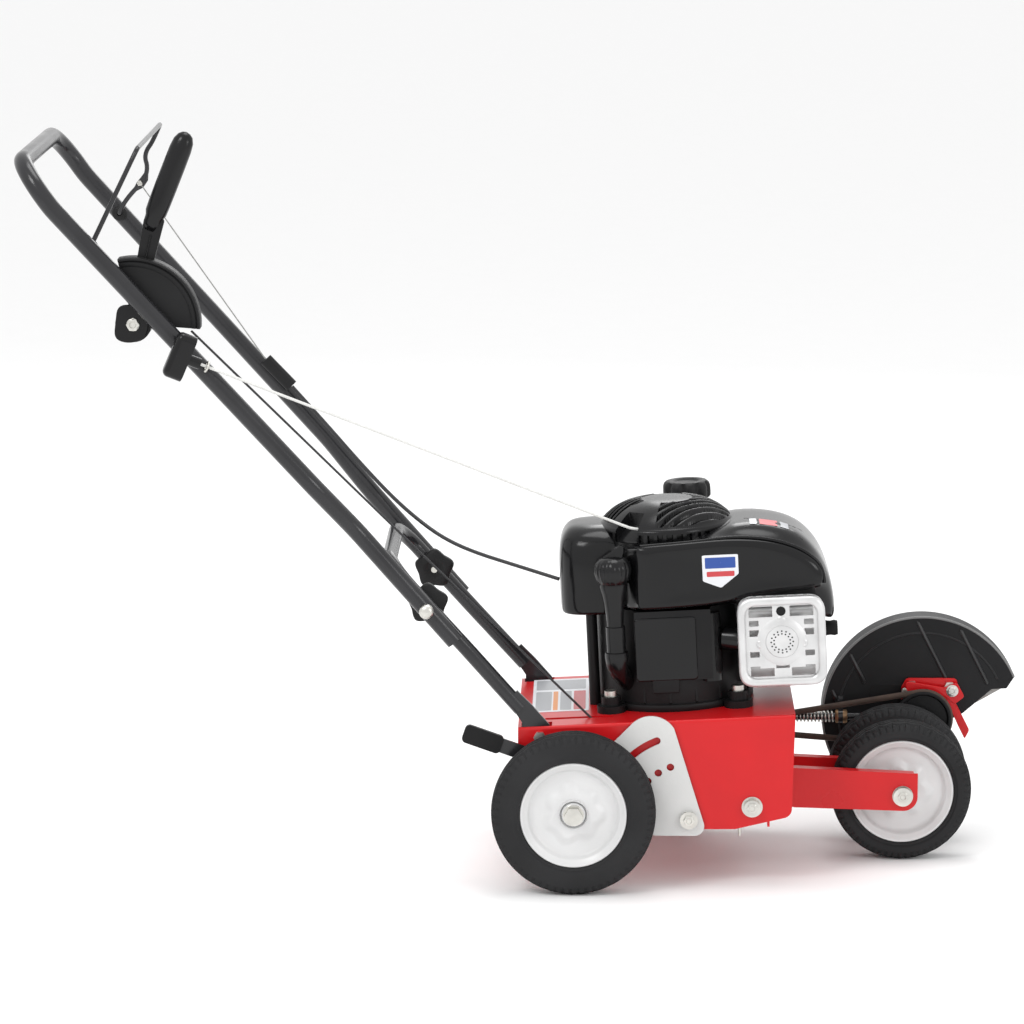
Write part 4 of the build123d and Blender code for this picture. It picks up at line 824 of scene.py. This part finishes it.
bend("woven_drive_belt", nodes["drive_belt"].data.copy(), BELT,
     ["drive_belt"])
belt_low, belt_high = box("spindle_pulley")
wheel_mid = (belt_low + belt_high) / 2
PULLEY_R = (belt_high.x - belt_low.x) / 2
sheave = [(8.2, 1.0), (14, 1.0), (15, 3.4), (PULLEY_R - 6, 3.8), (PULLEY_R - 4, 0.6), (PULLEY_R - 1, 0.2),
          (PULLEY_R, 0.8), (PULLEY_R - 5, 5.2), (PULLEY_R - 5, 6.8), (PULLEY_R, 11.2), (PULLEY_R - 1, 11.8),
          (14, 11.0), (8.2, 11.0)]
put("sheave", spun(sheave, y_out(wheel_mid.x, belt_low.y, wheel_mid.z, 1), 96,
                   around=True), "spindle", CASTING, "black_casting", ["spindle_pulley"], sharp=40)

# ---------- cables and rope
ROPE_TOP = (-396.9, -203.8, 661.1)
ROPE_GUIDE = (-389.7, -202.0, 658.0)
ROPE_IN = (131.5, -70.0, 434.5)
REEL_SIDE = tuple(engine(18.2, -48.6, 217) / MM)
rope_pull = [ROPE_GUIDE, (113.0, -75.0, 442.5), ROPE_IN, REEL_SIDE]
rope = bend("starter_rope_braid", curve_mesh(rope_pull, 1.75, resolution=60), ROPE,
            ["starter_rope"])
declare(rope_pull, resolution=60)
bend("starter_rope_tail", curve_mesh([ROPE_GUIDE, ROPE_TOP], 1.75, order=2, resolution=16),
     ROPE)
cable_line = [(-411.0, -155.3, 694.7), (-398.3, -154.0, 682.0), (98.8, -103.5, 181.8)]
depth = bend("depth_cable", curve_mesh(cable_line, 1.5, resolution=60), SHEATH,
             ["control_cable"])
declare(cable_line, resolution=60)
SHEATH_ROUTE = [
    (-309.5, 163.5, 578.5), (-268, 160, 533), (-222, 149, 482), (-178, 138, 437), (-142, 126, 408),
    (-110, 104, 390), (-72, 78, 378), (-20, 50, 367), (35.6, 24, 354.4),
]
sheath = bend("throttle_sheath", curve_mesh(SHEATH_ROUTE, 2.5), SHEATH,
              ["throttle_cable"])
declare(SHEATH_ROUTE)

# ---------- depth lever and quadrant
PIVOT_X, LEVER_Y, PIVOT_Z = pivot("depth_lever_swing")


def on_quadrant(angle, radius, y):
    """Point about the depth lever's pivot."""
    return model(PIVOT_X + radius * cos(angle), y, PIVOT_Z + radius * sin(angle))


quad_low, quad_high = box("lever_quadrant")
QUAD_R = quad_high.x - PIVOT_X + 0.6
rim_section = [(-10.6, 2.0), (-7.6, 0.4), (-5.2, 0.4), (-4.0, 1.6), (-2.4, 0), (-0.4, 0.2),
               (0.8, 1.8), (0.6, 6.4), (-0.8, 7.4), (0.7, 8.6), (0.8, 27.0), (-0.6, 28.2), (-4.6, 28.2)]
rim_rings = [[on_quadrant(radians(-4 + 107 * step / 60), QUAD_R + r, quad_low.y + y) for r, y in rim_section]
             for step in range(61)]
put("quadrant_rim", skin(rim_rings, caps=True), "upper_frame", PLASTIC, "black_plastic", sharp=40)
pivot_plate = rounded([(-24, -18), (-6, -24), (15, -18), (20, 6), (6, 24), (-19, 24)], 11)
put("lever_pivot_boss",
    prism(pivot_plate, y_out(PIVOT_X, quad_low.y, PIVOT_Z, 1), -0.2, 3.7),
    "upper_frame", SHINY_PLASTIC, "black_plastic", bevel=1.2)
hex_bolt("lever_pivot_bolt", "upper_frame", y_out(PIVOT_X, quad_low.y - 0.2, PIVOT_Z, -1), 8.2, 5.2)
neck = rounded([(-8, 13), (8, 9), (27, 83), (39, 127), (14, 130), (6, 87)], 5)
lever_high = box("depth_lever")[1]
GRIP_RUN = Vector((0.37, 0, 0.93)).normalized()
GRIP_TIP = Vector((lever_high.x - 8.5, LEVER_Y, lever_high.z - 2.4))
grip = [(128, 9.0, 5.0), (119, 10.4, 7.0), (111, 11.0, 9.4), (105, 13.2, 11.2), (93, 13.6, 11.6), (71, 13.8, 11.8),
        (43, 13.8, 11.8), (22, 13.6, 11.6), (11.5, 12.4, 10.6), (4.6, 9.2, 8.0), (1.2, 5.2, 4.6), (0, 1.2, 1.0)]
put("lever_grip",
    hose([(GRIP_TIP - GRIP_RUN * back) * MM for back, _, _ in grip], [(a, b) for _, a, b in grip], 40),
    "depth_lever", SHINY_PLASTIC, "gloss_black_plastic", ["depth_lever"], sharp=0)
on_lever = y_out(PIVOT_X, LEVER_Y, PIVOT_Z, 1)
put("lever_neck", prism(neck, on_lever, -4, 2.5), "depth_lever", PLASTIC, "gloss_black_plastic",
    bevel=1.2)
put("lever_neck_rib",
    hose([on_lever(1.5, 17, -3.6), on_lever(5.5, 40, -4.4), on_lever(16.5, 85, -4.4),
                            on_lever(21.5, 107, -4.0)], [(1.2, 2.0)] * 4, 16),
    "depth_lever", PLASTIC, "gloss_black_plastic")
hub_rows = [(4.2, 3), (12.0, 3), (12.8, 2), (12.8, -2.4), (12.0, -3.4), (4.2, -3.4)]
put("lever_hub", spun(hub_rows, on_lever, 48, around=True),
    "depth_lever", PLASTIC, "gloss_black_plastic", sharp=40)

# ---------- bail
BAIL_X, _, BAIL_Z = pivot("bail_squeeze")
bail_high = box("bail")[1]
ARM = Vector((bail_high.x - 3 - BAIL_X, 0, bail_high.z - 3 - BAIL_Z))
END_Y = bail_high.y


def on_arm(share, out, inset, side):
    """Millimetre point at a share of the bail arm's length, out in front of it, and in from the arm's end."""
    point = Vector((BAIL_X, 0, BAIL_Z)) + ARM * share + Vector((ARM.z, 0, -ARM.x)).normalized() * out
    return point.x, side * (END_Y - inset), point.z


RIGHT_ARM = [(0, 0, 0), (0, 0, 11), (.05, 0, 16), (.33, 0, 20.5), (.67, 0, 26), (.9, 0, 30),
             (1, 0, 35), (1, 0, 49)]
LEFT_ARM = [(1, 0, 47), (1, 0, 34), (.9, 0, 30), (.79, 0, 29), (.71, -2, 28), (.63, 0, 28),
            (.57, 7, 27), (.48, 11, 26), (.37, 9, 24), (.26, 4, 21), (.13, 0, 18), (.02, 0, 15),
            (0, 0, 11), (0, 0, 0)]
bail = [on_arm(*station, -1) for station in RIGHT_ARM] + [on_arm(1, 0, 127, -1), on_arm(1, 0, 127, 1)]
bail += [on_arm(*station, 1) for station in LEFT_ARM]
put("bail_loop", curve_mesh(bail, 3.0, resolution=8), "bail", HANDLE, "black_paint", ["bail"], sharp=0)
flat = [on_arm(*station, 1) for station in ((.50, 10, 26.6), (.44, 11, 25.8), (.36, 9, 24), (.30, 6, 22.8))]
put("bail_flat", hose([model(*point) for point in flat], [(2.6, 2.6), (5.0, 2.6), (5.4, 2.6), (2.8, 2.6)], 20),
    "bail", HANDLE, "black_paint")
fitting = on_arm(.38, 8, 26.4, 1)
hex_bolt("bail_wire_fitting", "bail", y_out(*fitting, -1), 3.6, 5.0)
clamp_low, clamp_high = box("cable_clamp")
sheath_end = (clamp_low.x + 5.6, (clamp_low.y + clamp_high.y) / 2, clamp_high.z - 4.9)
bend("bail_wire", curve_mesh([fitting, sheath_end], 0.8, order=2, resolution=40), WIRE)
for side_name, sign in (("right", -1), ("left", 1)):
    bushing = [(3.2, 0.0), (8.4, 0.0), (9.6, 1.0), (9.6, 3.2), (7.6, 5.2), (3.2, 5.6)]
    put(f"bail_bushing_{side_name}",
        spun(bushing, y_out(BAIL_X, sign * (END_Y - 5.5), BAIL_Z, -sign), 48, around=True),
        "upper_frame", PLASTIC, "black_plastic", sharp=40)

# ---------- knobs, bolts and handle hardware
bolt_high_y = -box("frame_bolts")[0].y
for side_name, sign in (("right", 1), ("left", -1)):
    knob_low, knob_high = box("knob_" + side_name)
    knob = pivot(side_name + "_knob_turn")
    face_y, back_y = (knob_high.y, knob_low.y) if sign > 0 else (knob_low.y, knob_high.y)

    def star(radius, height, angle):
        """Five-lobed outline."""
        dip = 0.17 * (0.5 - 0.5 * cos(5 * (angle - pi / 2))) ** 0.8
        return (radius * (1 - dip) if radius > 16 else radius), height

    knob_rows = [(4.1, 0), (10, 0), (13.6, 1.6), (23.6, 2.0), (25.6, 3.6), (26.0, 7.0), (25.6, 11.6),
                 (23.8, 13.6), (17.0, 14.3), (12.6, 14.5), (10.4, 12.6), (4.1, 12.2)]
    put(f"star_knob_{side_name}",
        spun(knob_rows, y_out(knob.x, back_y, knob.z, sign), 150, star, around=True),
        f"{side_name}_knob", PLASTIC, "black_plastic", [f"knob_{side_name}"], sharp=50)
    stud = [(3.9, -2.5), (3.9, -0.6), (3.3, 0.2), (0.3, 0.4)]
    put(f"knob_stud_{side_name}", spun(stud, y_out(knob.x, face_y, knob.z, sign), 32),
        "frame", ZINC, "zinc_steel", sharp=30)
    dome_head = [(8.7, 0.0), (8.9, 1.0), (8.2, 2.6), (6.2, 4.4), (3.4, 5.4), (0.3, 5.8)]
    put(f"carriage_head_{side_name}",
        spun(dome_head, y_out(knob.x, -sign * (bolt_high_y - 0.5), knob.z, -sign), 48), "frame", ZINC,
        "zinc_steel", sharp=40)
curb = pivot("curb_height")
hex_bolt("curb_pivot_bolt", "frame", y_out(curb.x, box("curb_plate")[0].y - 6, curb.z, -1), 7.4, 4.5,
         flange=11.0)
shaft_low, shaft_high = box("cross_shaft")
shaft_mid = (shaft_low + shaft_high) / 2
hex_bolt("cross_shaft_bolt", "frame", y_out(shaft_mid.x, shaft_low.y, shaft_mid.z, -1), 7.0, 3.5, flange=10.0)
axle_low, axle_high = box("front_axle")
axle_mid = (axle_low + axle_high) / 2
hex_bolt("front_axle_bolt", "frame", y_out(axle_mid.x, axle_low.y + 1, axle_mid.z, -1), 7.2, 2.4, flange=12.0)
clip = [model(shaft_mid.x - 15, shaft_low.y + 16, shaft_mid.z - drop) for drop in (17, 25, 33, 39)]
put("shaft_clip_pin", hose(clip, [2.2, 2.2, 2.2, 1.2], 16), "frame", ZINC, "zinc_steel")

# ---------- blade guard ribs and bracket
spindle = pivot("blade_spin")
guard_low, guard_high = box("blade_guard")
GUARD_R = guard_high.z - spindle.z


def on_guard_disc(angle, radius, y):
    """Point about the spindle."""
    return model(spindle.x + radius * cos(angle), guard_low.y + y, spindle.z + radius * sin(angle))


# four slanted ribs, which follow the CAD ones, and a step where the raised band starts, both in a lighter colour
# that is painted highlight
for index, ends in enumerate((((-8, 124), (33, 43)), ((48, 113), (85, 40)), ((-94, 80), (-74, 41)),
                              ((-117, 32), (-108, 14)))):
    top_end, foot = (Vector(end) for end in ends)
    stations = [top_end.lerp(foot, share) for share in (0, .04, .5, .96, 1)]
    put(f"guard_rib_{index}",
        hose([model(spindle.x + a, guard_low.y + 0.9, spindle.z + b) for a, b in stations],
             [(0.8, 0.6), (2.4, 1.9), (2.4, 1.9), (2.4, 1.9), (0.8, 0.6)], 16),
        "blade_head", GUARD_RIB_HIGHLIGHT, "guard_grey", sharp=0)
band_rings = []
for step in range(71):
    angle = radians(26 + 177 * step / 70)
    band_rings.append([on_guard_disc(angle, GUARD_R + r, y)
                       for r, y in ((-23.2, 1.9), (-22.4, 0.7), (-20.4, 0.2), (-19.4, 1.9))])
put("guard_band_step", skin(band_rings, caps=True), "blade_head", GUARD_RIB_HIGHLIGHT, "guard_grey", sharp=40)
# sunk panel with a level top edge, above the pulley
sunk = rounded([(-66, 40), (-70, 22), (-40, 12), (30, 12), (36, 40)], 6)
put("guard_sunk_panel",
    prism(sunk, y_out(spindle.x, guard_low.y, spindle.z, 1), 1.2, 2.4),
    "blade_head", GRIP_RUBBER, "guard_grey", bevel=0.5)
# lip round the guard's rim, pale grey as painted highlight on the flange
lip_rings = []
for step in range(81):
    angle = radians(23 + 182 * step / 80)
    lip = [(-2.6, 0.8), (-1.4, 0), (-0.2, 0.3), (0.4, 2.0), (-0.2, 3.6), (-2.6, 3.2)]
    lip_rings.append([on_guard_disc(angle, GUARD_R + r, y) for r, y in lip])
put("guard_lip", skin(lip_rings, caps=True), "blade_head", GUARD_LIP_HIGHLIGHT, "guard_grey", sharp=40)
bolts_low, bolts_high = box("guard_bolts")
FRONT_BOLT = Vector((bolts_high.x - 7.5, bolts_low.y, (bolts_low.z + bolts_high.z) / 2))
flag = [(-57, 8), (-6, 0), (9, 7), (19, -12), (6, -22), (-8, -10), (-20, -22), (-57, -14)]
on_bolt = y_out(*FRONT_BOLT, -1)
put("guard_bracket_flag", prism(rounded(flag, 4), on_bolt, 0.5, 4.5),
    "blade_head", RED, "red_paint", bevel=1.0)
leg = [(-11, -7), (1, -7), (26, -56), (20, -68), (11, -50), (2, -30)]
put("guard_bracket_leg", prism(rounded(leg, 3), on_bolt, -1.5, 3),
    "blade_head", RED, "red_paint", bevel=1.0)
hex_bolt("bracket_bolt_front", "blade_head", lambda a, b, c: on_bolt(3 + a, -4 + b, 4.5 + c), 6.2, 3.6,
         flange=7.8)
hex_bolt("bracket_bolt_rear", "blade_head", lambda a, b, c: on_bolt(-59 + a, -4 + b, 4.5 + c), 4.0, 3.2)

# ---------- plain colour labels
deck_low, deck_high = box("deck_frame")


def deck_point(x, y, lift):
    """Point on the deck's top face, ahead of its rear edge and left of its middle."""
    return model(deck_low.x + x, y, deck_high.z - (deck_high.x - deck_low.x - x) * tan(TILT) + lift)


def deck_label(name, x0, x1, y0, y1, finish, slot, lift):
    """Thin vinyl rectangle on the deck."""
    outline = rounded([(x0, y0), (x1, y0), (x1, y1), (x0, y1)], 2, 3)
    put(name, prism(outline, deck_point, 0.05, lift), "frame", finish, slot,
        sharp=30)


deck_label("deck_label_base", 16, 87, -66, 128, LABEL_WHITE, "white_plastic", 0.35)
for name, near, far, finish in (("rows", 20, 40, LABEL_GREY), ("band", 42, 48, LABEL_ORANGE),
                                ("panel", 51, 65, LABEL_GREY), ("corner", 68, 83, LABEL_RED)):
    deck_label(f"deck_label_{name}", near, far, -58, 52, finish, "white_plastic", 0.5)
deck_label("deck_label_head", 20, 83, 64, 120, LABEL_GREY, "white_plastic", 0.5)

shroud = bpy.data.objects["engine_shroud"]
bpy.context.view_layer.update()
surface = BVHTree.FromObject(shroud, bpy.context.evaluated_depsgraph_get())


def stick_on(name, outline, start, toward, finish, slot, lift):
    """Vinyl label: an outline carried along one direction onto the shroud, then lifted a little."""
    mid = sum(outline, Vector((0, 0))) / len(outline)
    rings = []
    for share in (1.0, 0.75, 0.5, 0.25, 0.01):
        ring = []
        for point in outline:
            origin = start(*(mid + (point - mid) * share))
            place = surface.ray_cast(origin, toward)[0]
            ring.append(place - toward * lift * MM)
        rings.append(ring)
    put(name, skin(rings), "frame", finish, slot, sharp=0)


def from_side(along, up):
    """Start of a ray towards the shroud's right side."""
    u, w = on_house(along, up)
    return engine(u, house_low.y - 30, w)


def from_above(along, across):
    """Start of a ray down onto the shroud."""
    return engine(on_house(along, 0)[0], house_low.y + across * house.y, DOME_TOP + 30)


def patch(low_a, high_a, low_b, high_b):
    """Label outline between two shares each way."""
    return rounded([(low_a, low_b), (high_a, low_b), (high_a, high_b), (low_a, high_b)], 0.006, 3)


shield = rounded([(.52, .75), (.65, .75), (.65, .56), (.585, .43), (.52, .50)], 0.01, 3)
INWARD = Vector((0, 1, 0))
DOWNWARD = (engine(0, 0, 0) - engine(0, 0, 1)).normalized()
stick_on("side_label", shield, from_side, INWARD, LABEL_WHITE, "white_plastic", 0.3)
stick_on("side_label_field", patch(.53, .64, .62, .725), from_side, INWARD, LABEL_BLUE, "white_plastic", 0.5)
stick_on("side_label_bar", patch(.535, .635, .54, .59), from_side, INWARD, LABEL_RED, "white_plastic", 0.5)
for label_name, start, end, finish in (("strip", .68, .89, PLASTIC), ("one", .70, .725, LABEL_WHITE),
                                       ("two", .735, .80, LABEL_RED), ("three", .81, .84, LABEL_GREY)):
    wide = label_name == "strip"
    stick_on("hood_label_" + label_name, patch(start, end, .14 if wide else .18, .36 if wide else .32),
             from_above, DOWNWARD, finish, "black_plastic" if wide else "white_plastic", 0.3 if wide else 0.5)

# ---------- camera, floor and light
CAMERA_PLACE = (0.0917, -5.9843, 1.5052)
CAMERA_LENS = 170.03
LOOK_YAW = -0.0192
LOOK_DOWN = radians(10.05)
camera_data = bpy.data.cameras.new("camera")
camera_data.lens = CAMERA_LENS
camera_data.sensor_width = 36
camera_data.clip_end = 60
camera = bpy.data.objects.new("camera", camera_data)
show(camera)
camera.location = CAMERA_PLACE
look = Vector((sin(LOOK_YAW) * cos(LOOK_DOWN), cos(LOOK_YAW) * cos(LOOK_DOWN), -sin(LOOK_DOWN)))
camera.rotation_euler = look.to_track_quat("-Z", "Y").to_euler()
bpy.context.scene.camera = camera


def lamp(name, place, aim, power, size):
    """Square area light aimed at a point."""
    data = bpy.data.lights.new(name, "AREA")
    data.energy = power
    data.size = size
    light = bpy.data.objects.new(name, data)
    show(light)
    light.location = place
    light.rotation_euler = (Vector(aim) - Vector(place)).to_track_quat("-Z", "Y").to_euler()


lamp("key", (-1.6, -2.2, 3.0), (0, 0, 0.3), 30, 1.1)
lamp("fill", (2.6, -2.4, 1.5), (0, 0, 0.3), 14, 1.0)
lamp("top", (0.2, 0.3, 3.2), (0, 0, 0), 24, 1.4)
lamp("back", (0.6, 3.0, 2.2), (0, 0, 0.4), 16, 1.4)

world = bpy.data.worlds.new("studio")
bpy.context.scene.world = world
world.use_nodes = True
world.node_tree.nodes["Background"].inputs["Color"].default_value = (1, 1, 1, 1)
world.node_tree.nodes["Background"].inputs["Strength"].default_value = 1.0
bpy.context.scene.view_settings.view_transform = "Standard"

bpy.ops.mesh.primitive_plane_add(size=90)
floor = bpy.context.object
floor.name = "floor"
floor.data.materials.append(FLOOR)
